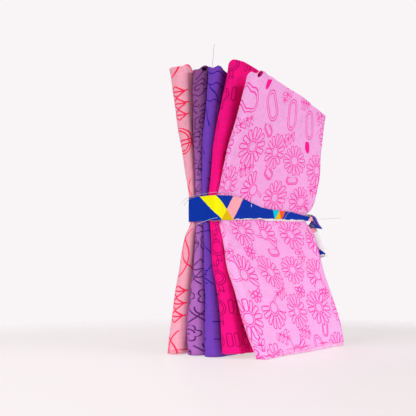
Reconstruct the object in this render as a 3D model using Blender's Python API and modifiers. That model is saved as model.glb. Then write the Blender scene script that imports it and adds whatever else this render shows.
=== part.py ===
"""A bundle of five folded fat quarters, stood on their cut edges and tied round the waist with a torn strip.

Each fat quarter is a cut of quilting cotton, 533 by 457 mm. It is folded in half at the top, then in half and in
half again like a book, so it stands 229 mm tall along its cloth and 133 mm wide, with four doubled leaves.
The strip squeezes the stack at the waist, and the leaves fan out above and below it.

Frame: X runs along the wide faces, from the folded spines at -X to the loose leaf edges at +X.
Y runs through the stack, from the front piece at -Y to the back piece at +Y. Z is up, and the cut edges stand on Z = 0.
Sizes are in millimetres up to the point where a mesh is made.
"""

import math
from collections import namedtuple

import bmesh
import bpy
import numpy as np

MM = 0.001

# Driving sizes
WIDTH = 133.0  # a quarter of the 533 mm side of the cut
LEAF = 1.0  # doubled cotton, as thick as a leaf is built
SPINE_X = -WIDTH / 2
FAR_X = WIDTH / 2
WAIST = 112.6  # height of the middle of the strip
SPINE_PITCH = 5.22  # from one piece to the next where the strip squeezes them
SPINE_THICK = 4.9
FAR_PITCH = 5.7
FAR_THICK = 5.3
SPINE_GRIP = 11.5  # half of the height that the strip holds flat, at the spines
FAR_GRIP = 3.0  # and at the loose edges, where the strip is bunched
SOFTEN = 3.5  # how far a change of slope is spread up and down
CENTRE_X = 2.1  # middle of the bundle's box, measured from the middle of the squeezed stack
CENTRE_Y = -11.5

# Shape of the folds
INNER_LANE = 1 / 3  # the inner leaves' share of the way from the middle to a cover
SPINE_ROUND = 0.95  # depth of a spine's curve over its half thickness
SPINE_DIP = 1.6  # how far the top of a spine's fold sinks below its covers
RAW_STEP = 1.2  # how far the inner cut end stays back from the cover's

# Mesh steps
COVER_STEPS = 4
INNER_STEPS = 3
SPINE_STEPS = 8
INNER_SPINE_STEPS = 5
FAR_FOLD_STEPS = 4
FOOT_RISE = 1.5  # the lowest stretch stands upright, so that the cut edges are flat on the surface
WAIST_RINGS = (-15.0, -10.5, 0.0, 10.5, 15.0)  # heights of the rings about the waist, the same for every piece
WAIST_REACH = 24.0  # the other rings are shared out below and above this far from the waist
LOW_SHARES = (0.08, 0.18, 0.4, 0.7, 1)
HIGH_SHARES = (0, 0.3, 0.6, 0.85, 0.94, 1)

# Flare of one piece at one height: where the back of its spine lies, how thick it is there, and the same at the
# loose edges. The piece keeps its place in the stack at the waist, and takes these places above and below.
Flare = namedtuple("Flare", "height spine_x spine_y spine_thick far_y far_thick")
Piece = namedtuple("Piece", "name colour place foot top_spine top_far low high")

PIECES = (
    Piece(
        name="fat_quarter_peach", colour=(0.95, 0.42, 0.52), place=2, foot=0.0, top_spine=230.5, top_far=226.0,
        low=(
            Flare(0, -77.0, 21.6, 15.0, 17.0, 9.0),
            Flare(14, -75.0, 20.8, 14.6, 16.5, 8.6),
            Flare(50, -71.0, 18.4, 13.4, 15.0, 7.4),
            Flare(92, -67.6, 14.4, 9.0, 12.6, 6.4),
        ),
        high=(
            Flare(170, -69.6, 16.9, 11.6, 14.5, 7.0),
            Flare(224, -75.0, 22.4, 19.6, 17.5, 8.6),
        ),
    ),
    Piece(
        name="fat_quarter_lilac", colour=(0.45, 0.16, 0.5), place=1, foot=0.0, top_spine=225.4, top_far=221.5,
        low=(
            Flare(0, -74.4, 4.1, 17.4, 4.4, 9.6),
            Flare(14, -74.0, 4.9, 16.2, 5.0, 9.0),
            Flare(50, -70.3, 5.3, 12.0, 5.2, 7.6),
        ),
        high=(
            Flare(170, -67.4, 6.1, 8.4, 5.6, 7.0),
            Flare(224, -69.5, 3.9, 14.6, 6.6, 8.6),
        ),
    ),
    Piece(
        name="fat_quarter_violet", colour=(0.17, 0.05, 0.46), place=0, foot=0.0, top_spine=225.0, top_far=219.0,
        low=(
            Flare(0, -73.8, -12.9, 14.6, -9.6, 10.6),
            Flare(14, -72.2, -10.8, 13.6, -8.6, 9.8),
            Flare(50, -68.6, -6.6, 10.4, -4.6, 7.6),
        ),
        high=(
            Flare(170, -67.2, -3.7, 10.2, -2.6, 7.0),
            Flare(224, -68.8, -11.4, 13.6, -4.8, 8.6),
        ),
    ),
    Piece(
        name="fat_quarter_hot_pink", colour=(0.93, 0.01, 0.22), place=-1, foot=3.0, top_spine=229.0, top_far=211.0,
        low=(
            Flare(0, -73.3, -29.2, 16.4, -25.8, 12.0),
            Flare(14, -72.3, -26.4, 15.8, -24.2, 11.6),
            Flare(50, -68.6, -19.2, 13.8, -16.6, 9.6),
        ),
        high=(
            Flare(170, -67.2, -16.4, 13.0, -13.0, 8.0),
            Flare(224, -64.0, -27.4, 13.4, -17.6, 9.0),
        ),
    ),
    Piece(
        name="fat_quarter_light_pink", colour=(0.96, 0.36, 0.74), place=-2, foot=0.0, top_spine=212.5, top_far=206.2,
        low=(
            Flare(0, -63.0, -51.4, 9.4, -44.8, 9.6),
            Flare(14, -65.6, -44.4, 10.2, -42.8, 9.4),
            Flare(50, -65.6, -32.8, 10.2, -30.6, 8.8),
        ),
        high=(
            Flare(170, -65.6, -30.8, 10.2, -24.8, 8.0),
            Flare(224, -65.8, -51.8, 13.6, -34.2, 8.4),
        ),
    ),
)

# The strip: its edges along the front face, from the spines to the knot
Edge = namedtuple("Edge", "x bottom top")
STRIP_EDGES = (
    Edge(-67.0, 102.9, 122.9),
    Edge(-45.0, 104.4, 124.0),
    Edge(-32.0, 105.4, 123.0),
    Edge(-20.0, 106.3, 120.5),
    Edge(-7.0, 107.3, 117.9),
    Edge(12.0, 107.9, 117.2),
    Edge(40.0, 109.2, 117.6),
    Edge(60.0, 110.3, 115.8),
    Edge(67.0, 110.4, 115.4),
)

STRIP_COLOUR = (0.0, 0.035, 0.4)
STRIP_THICK = 1.0
STRIP_BULGE = 0.35  # the strip's middle stands this far off its edges
STRIP_ROWS = 4
STRIP_HALF_DEPTH = 15.0  # from the middle of the stack to the strip's inner face, across it
STRIP_HALF_WIDTH = 67.2
SPINE_CORNER = 4.5
FAR_CORNER = 2.0
CORNER_STEPS = 4
BACK_X = (52.0, 25.0, 0.0, -25.0, -48.0)
KNOT = (70.6, -15.8, 112.9)
KNOT_RADII = (3.6, 3.3, 3.7)

# A tail's middle line from the knot, with its width at each point and the way its width runs
TailPoint = namedtuple("TailPoint", "x y z width")
LONG_TAIL = (
    TailPoint(70.9, -16.2, 112.0, 4.0),
    TailPoint(71.6, -17.4, 105.0, 6.5),
    TailPoint(72.2, -19.4, 96.0, 9.5),
    TailPoint(73.0, -21.8, 87.0, 9.5),
    TailPoint(74.4, -24.0, 79.5, 7.5),
)
SHORT_TAIL = (
    TailPoint(71.2, -16.6, 113.0, 4.0),
    TailPoint(74.0, -18.2, 110.6, 6.0),
    TailPoint(76.4, -19.8, 107.0, 8.0),
    TailPoint(78.2, -21.2, 103.4, 7.0),
)
TAIL_SIDE = (0.62, -0.78)
TAIL_CURL = 1.1  # how far a tail's middle stands off its edges where it has its full width
TAIL_FULL_WIDTH = 9.5
TAIL_THICK = 1.2
TAIL_COLUMNS = 5

Section = namedtuple("Section", "spine_x spine_y spine_thick far_y far_thick")


def clear_scene():
    for thing in list(bpy.data.objects):
        bpy.data.objects.remove(thing, do_unlink=True)


def new_collection(name):
    group = bpy.data.collections.new(name)
    bpy.context.scene.collection.children.link(group)
    return group


def cloth_material(name, colour):
    material = bpy.data.materials.new(name)
    material.use_nodes = True
    shader = material.node_tree.nodes["Principled BSDF"]
    shader.inputs["Base Color"].default_value = (*colour, 1.0)
    shader.inputs["Roughness"].default_value = 0.9
    shader.inputs["Metallic"].default_value = 0.0
    return material


def place(point):
    """A point of the stack, moved so that the box round the bundle is centred on the origin."""
    x, y, z = point
    return x - CENTRE_X, y - CENTRE_Y, z


def mesh_object(name, points, faces, material, group):
    """An object from points in millimetres."""
    mesh = bpy.data.meshes.new(name)
    mesh.from_pydata([tuple(c * MM for c in place(point)) for point in points], [], faces)
    mesh.materials.append(material)
    mesh.shade_smooth()
    thing = bpy.data.objects.new(name, mesh)
    group.objects.link(thing)
    return thing


def grid_faces(columns, rows, closed=False):
    """Quads of a grid whose points run row by row within each column."""
    last = columns if closed else columns - 1
    faces = []
    for i in range(last):
        for j in range(rows - 1):
            here = i * rows + j
            there = ((i + 1) % columns) * rows + j
            faces.append((here, there, there + 1, here + 1))
    return faces


def thicken(thing, thickness, offset):
    solid = thing.modifiers.new("cloth", "SOLIDIFY")
    solid.thickness = thickness * MM
    solid.offset = offset
    solid.use_even_offset = True


def softened(height, heights, values):
    """The value at a height, from straight runs whose corners are rounded."""
    reach = SOFTEN * np.linspace(-1, 1, 7)
    return float(np.mean(np.interp(height + reach, heights, values)))


def section_at(piece, height):
    """Where a piece's spine and loose edges lie at one height."""
    waist_spine = (SPINE_X, piece.place * SPINE_PITCH, SPINE_THICK)
    waist_far = (piece.place * FAR_PITCH, FAR_THICK)
    flares = piece.low + piece.high
    below = len(piece.low)

    def rows(grip, waist_values, fields):
        heights = [flare.height for flare in flares]
        heights[below:below] = [WAIST - grip, WAIST + grip]
        table = [[getattr(flare, field) for flare in flares] for field in fields]
        for column, at_waist in zip(table, waist_values):
            column[below:below] = [at_waist, at_waist]
        return [softened(height, heights, column) for column in table]

    spine = rows(SPINE_GRIP, waist_spine, ("spine_x", "spine_y", "spine_thick"))
    far = rows(FAR_GRIP, waist_far, ("far_y", "far_thick"))
    return Section(*spine, *far)


def fold_line(section):
    """Plan of a folded piece: the middle line of its doubled cloth, from the front cover's cut end, round the
    spine to the back cover, round the far fold, back inside to the inner spine and out to the inner cut end."""
    spine_reach = (section.spine_thick - LEAF) / 2
    far_reach = (section.far_thick - LEAF) / 2
    spine_depth = spine_reach * SPINE_ROUND
    spine_centre = section.spine_x + LEAF / 2 + spine_depth
    fold_reach = far_reach * (1 - INNER_LANE) / 2
    far_centre = FAR_X - LEAF / 2 - fold_reach

    def leaf(lane, start_x, end_x, steps):
        points = []
        for step in range(steps + 1):
            x = start_x + (end_x - start_x) * step / steps
            share = (x - spine_centre) / (far_centre - spine_centre)
            middle = section.spine_y + (section.far_y - section.spine_y) * share
            reach = spine_reach + (far_reach - spine_reach) * share
            points.append((x, middle + lane * reach))
        return points

    def spine(lane, first_side, steps):
        points = []
        for step in range(1, steps):
            turn = math.pi * step / steps
            across = first_side * math.cos(turn)
            points.append((
                spine_centre - lane * spine_depth * math.sin(turn),
                section.spine_y + lane * spine_reach * across,
            ))
        return points

    def far_fold(steps):
        lane = (1 + INNER_LANE) / 2
        points = []
        for step in range(1, steps):
            turn = math.pi * step / steps
            points.append((
                far_centre + fold_reach * math.sin(turn),
                section.far_y + lane * far_reach + fold_reach * math.cos(turn),
            ))
        return points

    return (
        leaf(-1, FAR_X, spine_centre, COVER_STEPS)
        + spine(1, -1, SPINE_STEPS)
        + leaf(1, spine_centre, far_centre, COVER_STEPS)
        + far_fold(FAR_FOLD_STEPS)
        + leaf(INNER_LANE, far_centre, spine_centre, INNER_STEPS)
        + spine(INNER_LANE, 1, INNER_SPINE_STEPS)
        + leaf(-INNER_LANE, spine_centre, FAR_X - RAW_STEP, INNER_STEPS)
    )


def top_height(piece, x):
    """Height of the top fold: lower at the loose edges, and sunk where the cloth turns at the spine."""
    share = (x - SPINE_X) / WIDTH
    level = piece.top_spine + (piece.top_far - piece.top_spine) * min(max(share, 0), 1)
    turning = min(max(1 - (x - SPINE_X) / (SPINE_THICK * 1.5), 0), 1)
    return level - SPINE_DIP * turning


def ring_heights(foot, top):
    low_end = WAIST - WAIST_REACH
    high_start = WAIST + WAIST_REACH
    return (
        [foot, foot + FOOT_RISE]
        + [foot + share * (low_end - foot) for share in LOW_SHARES]
        + [WAIST + step for step in WAIST_RINGS]
        + [high_start + share * (top - high_start) for share in HIGH_SHARES]
    )


def fat_quarter(piece, group):
    """One folded piece: its doubled cloth as a sheet lofted up through the flare, then thickened."""
    waist_line = fold_line(section_at(piece, WAIST))
    points = []
    for column, (waist_x, _) in enumerate(waist_line):
        heights = ring_heights(piece.foot, top_height(piece, waist_x))
        for height in heights:
            flare_height = max(height, piece.foot + FOOT_RISE)
            x, y = fold_line(section_at(piece, flare_height))[column]
            points.append((x, y, height))
    faces = grid_faces(len(waist_line), len(heights))
    thing = mesh_object(piece.name, points, faces, cloth_material(piece.name, piece.colour), group)
    thicken(thing, LEAF, 0.0)
    return thing


def strip_edges_at(x):
    places = [edge.x for edge in STRIP_EDGES]
    bottom = float(np.interp(x, places, [edge.bottom for edge in STRIP_EDGES]))
    top = float(np.interp(x, places, [edge.top for edge in STRIP_EDGES]))
    return bottom, top


def corner(centre_x, centre_y, radius, start, end):
    """Points of a quarter turn, with the angle measured from +X."""
    points = []
    for step in range(CORNER_STEPS + 1):
        turn = math.radians(start + (end - start) * step / CORNER_STEPS)
        points.append((centre_x + radius * math.cos(turn), centre_y + radius * math.sin(turn)))
    return points


def strip_plan():
    """The strip's way round the stack: front face, spines, back face and loose edges."""
    spine_x = -STRIP_HALF_WIDTH + SPINE_CORNER
    far_x = STRIP_HALF_WIDTH - FAR_CORNER
    spine_y = STRIP_HALF_DEPTH - SPINE_CORNER
    far_y = STRIP_HALF_DEPTH - FAR_CORNER
    front = [(edge.x, -STRIP_HALF_DEPTH) for edge in reversed(STRIP_EDGES[1:-1])]
    back = [(x, STRIP_HALF_DEPTH) for x in reversed(BACK_X)]
    return (
        corner(far_x, -far_y, FAR_CORNER, 0, -90)
        + front
        + corner(spine_x, -spine_y, SPINE_CORNER, -90, -180)
        + [(-STRIP_HALF_WIDTH, 0.0)]
        + corner(spine_x, spine_y, SPINE_CORNER, 180, 90)
        + back
        + corner(far_x, far_y, FAR_CORNER, 90, 0)
    )


def strip_band(material, group):
    """The loop of the strip, full width at the spines and bunched towards the knot."""
    plan = strip_plan()
    points = []
    for x, y in plan:
        bottom, top = strip_edges_at(x)
        length = math.hypot(x, y)
        for row in range(STRIP_ROWS):
            share = row / (STRIP_ROWS - 1)
            bulge = STRIP_BULGE * math.sin(math.pi * share)
            points.append((x + bulge * x / length, y + bulge * y / length, bottom + (top - bottom) * share))
    band = mesh_object("tie_strip", points, grid_faces(len(plan), STRIP_ROWS, closed=True), material, group)
    thicken(band, STRIP_THICK, -1.0)
    return band


def tail(name, route, material, group):
    """A free end of the strip: a ribbon along its middle line, a little curled across."""
    side_x, side_y = TAIL_SIDE
    points = []
    for point in route:
        for column in range(TAIL_COLUMNS):
            share = column / (TAIL_COLUMNS - 1) - 0.5
            curl = TAIL_CURL * (1 - 4 * share * share) * point.width / TAIL_FULL_WIDTH
            points.append((
                point.x + side_x * point.width * share - side_y * curl,
                point.y + side_y * point.width * share + side_x * curl,
                point.z,
            ))
    ribbon = mesh_object(name, points, grid_faces(len(route), TAIL_COLUMNS), material, group)
    thicken(ribbon, TAIL_THICK, 0.0)
    return ribbon


def knot(material, group):
    """The knot's lump, a squashed sphere."""
    mesh = bpy.data.meshes.new("knot")
    body = bmesh.new()
    bmesh.ops.create_uvsphere(body, u_segments=14, v_segments=9, radius=1.0)
    bmesh.ops.scale(body, vec=tuple(r * MM for r in KNOT_RADII), verts=body.verts)
    bmesh.ops.translate(body, vec=tuple(c * MM for c in place(KNOT)), verts=body.verts)
    body.to_mesh(mesh)
    body.free()
    mesh.materials.append(material)
    thing = bpy.data.objects.new("knot", mesh)
    group.objects.link(thing)
    return thing


def mark_as_cutter(thing):
    thing.hide_render = True
    thing.display_type = "WIRE"


def tie(group, joined_group):
    """The strip: its loop, with the knot and both free ends joined on as one solid."""
    material = cloth_material("tie_strip", STRIP_COLOUR)
    band = strip_band(material, group)
    additions = (
        knot(material, joined_group),
        tail("long_tail", LONG_TAIL, material, joined_group),
        tail("short_tail", SHORT_TAIL, material, joined_group),
    )
    for addition in additions:
        mark_as_cutter(addition)
        union = band.modifiers.new(addition.name, "BOOLEAN")
        union.operation = "UNION"
        union.solver = "EXACT"
        union.object = addition
    return band


def main():
    clear_scene()
    bundle = new_collection("fat_quarter_bundle")
    joined = new_collection("joined_to_the_strip")
    for piece in PIECES:
        fat_quarter(piece, bundle)
    tie(bundle, joined)


main()
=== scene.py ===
"""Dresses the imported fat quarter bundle: five folded cotton cuts on their cut edges, and the torn strip round them.

Every cut is one thin sheet, 533 by 457 mm, laid along the folds of its solid: in half over the top, then twice like a
book. Its print is drawn in the flat cut's own coordinates, so it runs round the folds as a printed cloth does.
Lengths in the tables are millimetres, measured from the middle of the squeezed stack.
"""

import math
from collections import namedtuple

import bpy
import numpy as np
from bpy.props import FloatProperty, FloatVectorProperty, IntProperty, PointerProperty
from bpy.types import Operator, Panel, PropertyGroup
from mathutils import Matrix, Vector


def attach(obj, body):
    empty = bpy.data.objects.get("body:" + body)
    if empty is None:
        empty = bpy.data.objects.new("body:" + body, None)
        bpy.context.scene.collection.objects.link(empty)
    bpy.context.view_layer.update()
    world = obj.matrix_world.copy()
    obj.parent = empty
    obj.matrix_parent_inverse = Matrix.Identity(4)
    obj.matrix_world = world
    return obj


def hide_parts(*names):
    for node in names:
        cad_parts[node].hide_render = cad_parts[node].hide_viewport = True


bl_info = {
    "name": "Fat Quarter Bundle",
    "version": (1, 0, 0),
    "blender": (4, 5, 0),
    "location": "View3D > Sidebar > Bundle",
    "description": "Builds a tied bundle of five folded, printed cotton cuts",
    "category": "Add Mesh",
}

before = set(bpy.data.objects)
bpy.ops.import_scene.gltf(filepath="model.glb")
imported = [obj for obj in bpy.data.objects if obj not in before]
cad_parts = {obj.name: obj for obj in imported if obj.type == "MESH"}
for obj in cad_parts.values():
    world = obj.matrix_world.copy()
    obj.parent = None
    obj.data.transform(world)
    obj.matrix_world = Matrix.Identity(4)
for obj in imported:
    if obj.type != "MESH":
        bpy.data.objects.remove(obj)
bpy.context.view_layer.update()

MM = 0.001
CENTRE = np.array([2.1, -11.5, 0.0])  # middle of the bundle's box, from the middle of the squeezed stack

# The cut and its folds
CUT_U = 533.0
CUT_V = 457.0
WIDTH = 133.0
SPINE_X = -WIDTH / 2
FAR_X = WIDTH / 2
LEAF = 1.0
WAIST = 112.6
SPINE_PITCH = 5.22
SPINE_THICK = 4.9
FAR_PITCH = 5.7
FAR_THICK = 5.3
SPINE_GRIP = 11.5
FAR_GRIP = 3.0
SPINE_ROUND = 0.95
SPINE_NECK = 6.5  # how far behind the spine the cloth swells beside the strip
FRONT_NECK = 18.0  # the same on the front piece
INNER_LANE = 1 / 3
SPINE_MIDDLE_U = 135.7  # where the spine's middle lies on the flat cut
RAW_STEP = 1.2
LAYER_STEP = 0.42  # from a leaf's middle line to each of its two layers
WEAVE_PITCH = 0.5
WEAVE_BUMP = 0.24 * MM
COTTON_ROUGHNESS = 0.9
COTTON_SHEEN = 0.03
WRONG_SIDE_SHOW = 0.55  # how much of the print shows on the wrong side
WAIST_HALF = 15.0  # the mesh keeps level rows this far above and below the waist

Flare = namedtuple("Flare", "height spine_x spine_y spine_thick far_y far_thick")
Grip = namedtuple("Grip", "spine_x spine_y spine_thick")
Pit = namedtuple("Pit", "along below half_wide half_high depth")
Quarter = namedtuple("Quarter", "node slot place seed low high under_strip over_strip crown foot pit print_shift")

# low, high: the fan's flares below and above the strip. under_strip, over_strip: the folded spine at the strip's lower
# and upper edge. crown: height of the top fold, by the distance along the cloth from the middle of the spine, negative
# on the front cover. foot: height of the outer layer's cut edge, by the same distance.
QUARTERS = (
    Quarter(
        node="fat_quarter_peach", slot="peach_cotton", place=2, seed=3,
        low=(
            Flare(0, -78.0, 22.2, 15.2, 17.0, 9.0),
            Flare(14, -76.2, 21.4, 14.8, 16.5, 8.6),
            Flare(50, -72.4, 19.0, 13.6, 15.0, 7.4),
            Flare(92, -68.1, 14.3, 9.1, 12.6, 6.4),
        ),
        high=(
            Flare(170, -70.4, 17.4, 11.8, 14.5, 7.0),
            Flare(224, -75.2, 22.1, 19.2, 17.5, 8.6),
        ),
        under_strip=Grip(-66.4, 10.7, 5.2), over_strip=Grip(-67.4, 11.4, 5.4),
        crown=(
            (-125, 226), (-30, 226.4), (-13, 226.6), (-11.2, 227.2), (-9.6, 229.6), (-8, 230.9), (-6.4, 230.4),
            (-4.4, 228.9), (-1.5, 228.5), (3, 229.0), (7, 229.8), (10, 230.2), (14, 229.8), (60, 228), (125, 226),
        ),
        foot=((-125, 0.3), (-12, 0.8), (-5, 1.3), (0, 0.5), (5, 0.9), (11, 0.2), (125, 0.3)),
        pit=None, print_shift=(4.0, 22.0),
    ),
    Quarter(
        node="fat_quarter_lilac", slot="lilac_cotton", place=1, seed=7,
        low=(
            Flare(0, -74.4, 4.1, 17.4, 4.4, 9.6),
            Flare(14, -74.0, 4.9, 16.2, 5.0, 9.0),
            Flare(50, -70.3, 5.3, 12.0, 5.2, 7.6),
        ),
        high=(
            Flare(170, -67.4, 6.1, 8.4, 5.6, 7.0),
            Flare(224, -69.5, 3.9, 14.6, 6.6, 8.6),
        ),
        under_strip=Grip(-66.5, 4.6, 6.4), over_strip=Grip(-66.5, 5.2, 6.2),
        crown=(
            (-125, 221.5), (-20, 224.2), (-9, 225.2), (-7.6, 226.4), (-6.4, 227.5), (-4.9, 227.9), (-3.5, 227.3),
            (-2.3, 225.9), (-1.4, 224.9), (0, 224.6), (2.6, 225.2), (7, 225.1), (20, 225), (125, 221.5),
        ),
        foot=((-125, 0.4), (-8, 0.9), (-2, 0.3), (6, 0.8), (12, 0.4), (125, 0.4)),
        pit=Pit(-4.7, 2.7, 1.5, 1.4, 3.2), print_shift=(4.0, 5.0),
    ),
    Quarter(
        node="fat_quarter_violet", slot="violet_cotton", place=0, seed=11,
        low=(
            Flare(0, -73.8, -12.9, 14.6, -9.6, 10.6),
            Flare(14, -72.2, -10.8, 13.6, -8.6, 9.8),
            Flare(50, -68.6, -6.6, 10.4, -4.6, 7.6),
        ),
        high=(
            Flare(170, -67.2, -3.7, 10.2, -2.6, 7.0),
            Flare(224, -68.8, -11.4, 13.6, -4.8, 8.6),
        ),
        under_strip=Grip(-66.5, -2.3, 6.1), over_strip=Grip(-66.5, -0.8, 5.8),
        crown=(
            (-125, 219), (-22, 220.6), (-12, 221.4), (-8, 222.2), (-5.6, 224.2), (-3.8, 224.8), (-1.6, 223.4),
            (-0.2, 223), (2, 224.3), (4, 225.3), (8, 225.1), (20, 224.5), (125, 219),
        ),
        foot=((-125, 0.2), (-8, 0.4), (0, 0.0), (8, 0.3), (125, 0.2)),
        pit=None, print_shift=(7.0, 33.0),
    ),
    Quarter(
        node="fat_quarter_hot_pink", slot="hot_pink_cotton", place=-1, seed=19,
        low=(
            Flare(0, -73.3, -29.2, 16.4, -25.8, 12.0),
            Flare(14, -72.3, -26.4, 15.8, -24.2, 11.6),
            Flare(50, -68.6, -19.2, 13.8, -16.6, 9.6),
        ),
        high=(
            Flare(170, -67.2, -16.4, 13.0, -13.0, 8.0),
            Flare(224, -64.0, -27.4, 13.4, -17.6, 9.0),
        ),
        under_strip=Grip(-66.5, -9.1, 7.0), over_strip=Grip(-66.5, -7.9, 7.6),
        crown=(
            (-125, 213), (-75, 219.4), (-40, 224.6), (-18, 226.4), (-11, 226.4), (-7, 226.4), (-4, 226.9),
            (-1.6, 227.6), (0.4, 227.9), (2.2, 227.2), (6, 225.9), (9.5, 225.0), (60, 221), (125, 212),
        ),
        foot=((-125, 3.4), (-10, 3.2), (-3, 3.9), (4, 3.2), (10, 3.6), (125, 3.4)),
        pit=None, print_shift=(13.0, 3.0),
    ),
    Quarter(
        node="fat_quarter_light_pink", slot="light_pink_cotton", place=-2, seed=29,
        low=(
            Flare(0, -63.0, -51.4, 9.4, -44.8, 9.6),
            Flare(14, -65.6, -44.4, 10.2, -42.8, 9.4),
            Flare(50, -65.6, -32.8, 10.2, -30.6, 8.8),
        ),
        high=(
            Flare(170, -65.6, -30.8, 10.2, -24.8, 8.0),
            Flare(224, -65.8, -51.8, 13.6, -34.2, 8.4),
        ),
        under_strip=Grip(-61.4, -12.7, 4.2), over_strip=Grip(-62.4, -12.9, 4.2),
        crown=(
            (-133, 206.8), (-120, 208.3), (-98, 210.8), (-50, 213.4), (-30, 213.9), (-20, 214.0), (-13, 214.2),
            (-9.8, 214.5), (-8.0, 214.7), (-6.4, 214.6), (-5.2, 214.3), (-4.2, 213.2), (-3.2, 212.3), (-1, 213.2),
            (1.3, 214.2), (3.4, 213.2), (5.3, 211.8), (11, 211.2), (20, 211), (125, 206.4),
        ),
        foot=((-133, 3.2), (-95, 3.0), (-55, 2.6), (-30, 1.2), (-14, 0.4), (0, 0.2), (125, 0.5)),
        pit=Pit(-5.5, 2.5, 1.4, 2.0, 3.4), print_shift=(9.0, 20.0),
    ),
)

# Mesh steps of a folded cut: columns in each stretch of its fold line, and rows up each layer
COVER_COLUMNS = 60
SPINE_COLUMNS = 24
BACK_COLUMNS = 44
FAR_FOLD_COLUMNS = 8
INNER_COLUMNS = 22
INNER_SPINE_COLUMNS = 10
LOW_ROWS = 34
WAIST_ROWS = 15
HIGH_ROWS = 38
TOP_ROWS = 7
UNDER_SHARE = 2  # the layer inside the leaf keeps one row of this many, and all of them near the top

# The strip: edges along the front face, from the spines to the knot
Edge = namedtuple("Edge", "x bottom top")
STRIP_EDGES = (
    Edge(-67.0, 102.9, 122.9),
    Edge(-45.0, 104.4, 124.0),
    Edge(-32.0, 105.4, 123.0),
    Edge(-20.0, 106.3, 120.5),
    Edge(-7.0, 107.3, 117.9),
    Edge(12.0, 107.9, 117.2),
    Edge(40.0, 109.2, 117.6),
    Edge(60.0, 110.3, 115.8),
    Edge(67.0, 110.4, 115.4),
)
STRIP_FLAT = 22.0
STRIP_LONG = 457.0
STRIP_HALF_DEPTH = 15.0
STRIP_HALF_WIDTH = 67.2
SPINE_CORNER = 4.5
FAR_CORNER = 2.0
STRIP_COLUMNS = 30
STRIP_LOW = 101.0
STRIP_HIGH = 124.5

# A free end of the strip, from the stack to its tip: place, the way its print faces, the way its width runs, width
EndPoint = namedtuple("EndPoint", "place facing across width")
FRONT_END = (
    EndPoint((68.4, -16.9, 113.0), (0.25, -0.97, 0.0), (0.0, 0.0, 1.0), 4.6),
    EndPoint((71.0, -18.3, 113.2), (0.35, -0.94, 0.0), (0.0, 0.0, 1.0), 4.4),
    EndPoint((73.6, -17.6, 113.0), (0.92, -0.38, 0.0), (0.1, 0.1, 1.0), 4.2),
    EndPoint((73.9, -15.7, 111.0), (0.9, 0.43, 0.0), (0.3, -0.35, 0.8), 4.2),
    EndPoint((72.4, -16.4, 107.5), (0.8, 0.6, 0.1), (0.6, -0.7, 0.2), 5.5),
    EndPoint((72.5, -18.3, 103.0), (0.78, 0.62, 0.0), (0.62, -0.78, 0.0), 7.6),
    EndPoint((73.3, -20.8, 96.0), (0.78, 0.62, 0.0), (0.62, -0.78, 0.0), 9.6),
    EndPoint((74.6, -23.8, 87.0), (0.78, 0.62, 0.0), (0.62, -0.78, 0.05), 9.6),
    EndPoint((76.2, -26.6, 77.4), (0.8, 0.6, 0.0), (0.6, -0.8, 0.2), 6.6),
)
BACK_END = (
    EndPoint((68.9, -8.0, 113.0), (1.0, 0.0, 0.0), (0.0, 0.0, 1.0), 4.6),
    EndPoint((69.8, -12.6, 114.6), (0.8, 0.0, 0.6), (-0.6, 0.0, 0.8), 4.2),
    EndPoint((71.2, -16.0, 116.0), (0.1, 0.1, 1.0), (-1.0, 0.0, 0.1), 4.0),
    EndPoint((72.2, -19.2, 114.8), (-0.3, -0.8, 0.6), (-0.9, 0.3, 0.1), 4.2),
    EndPoint((73.6, -20.0, 111.4), (-0.6, -0.75, 0.1), (-0.7, 0.5, 0.5), 6.2),
    EndPoint((75.4, -20.6, 107.6), (-0.72, -0.66, 0.1), (-0.6, 0.65, 0.35), 8.4),
    EndPoint((77.0, -21.4, 103.8), (-0.78, -0.62, 0.0), (-0.62, 0.78, 0.1), 8.2),
)

# Loose threads, each a run of points
LOOSE_THREADS = (
    ("thread_violet", ((-60.0, -5.3, 224.0), (-60.3, -5.6, 230.0), (-59.8, -6.0, 236.0), (-60.2, -6.6, 241.5),
                       (-59.6, -7.2, 245.4))),
    ("thread_edge", ((-73.4, 15.2, 117.6), (-71.6, 13.6, 120.4), (-69.2, 11.5, 122.4), (-68.5, 5.0, 123.6),
                     (-68.5, -4.0, 124.2), (-67.5, -13.0, 124.6), (-60.0, -16.7, 125.0), (-51.0, -17.0, 125.4),
                     (-46.5, -17.1, 125.0))),
    ("thread_end", ((-72.4, 13.6, 115.6), (-70.6, 12.8, 118.4), (-68.5, 11.0, 121.0), (-68.4, 5.0, 122.4))),
    ("thread_low", ((-68.6, 6.4, 99.6), (-68.7, 1.0, 101.3), (-68.7, -5.0, 102.8), (-68.1, -11.5, 104.3),
                    (-66.2, -15.0, 105.0))),
    ("thread_fold", ((21.5, -16.4, 108.4), (25.5, -16.9, 110.0), (29.0, -16.9, 112.6), (32.5, -16.9, 115.6),
                     (37.5, -16.6, 117.2))),
    ("thread_knot", ((72.0, -18.5, 113.0), (76.0, -24.0, 112.6), (80.0, -32.0, 112.9), (84.0, -41.0, 113.2))),
)


# The stage: the world's light, the floor, and the lamps' names, places, sizes and strengths, in metres and watts
WORLD_FILL = 0.08
FLOOR_SHARE = 0.36  # how much of the lamps' light the floor gives back: the rest is an even glow, as of a lit table
FLOOR_GLOW = 0.66
BACKDROP = (249, 245, 247)
FLOOR_RADIUS = 0.5
FLOOR_FADE = (0.26, 0.46)  # from here the floor fades, and here it is gone
LAMP_AIM = (0.0, 0.0, 0.11)
LAMPS = (
    ("side", (-1.2, 0.1, 0.5), 0.7, 11.3),
    ("front", (0.2, -1.2, 0.45), 0.9, 12.8),
    ("top", (0.0, -0.1, 1.3), 0.9, 2.8),
    ("rear", (0.6, 1.1, 0.7), 0.8, 3.4),
)


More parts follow.
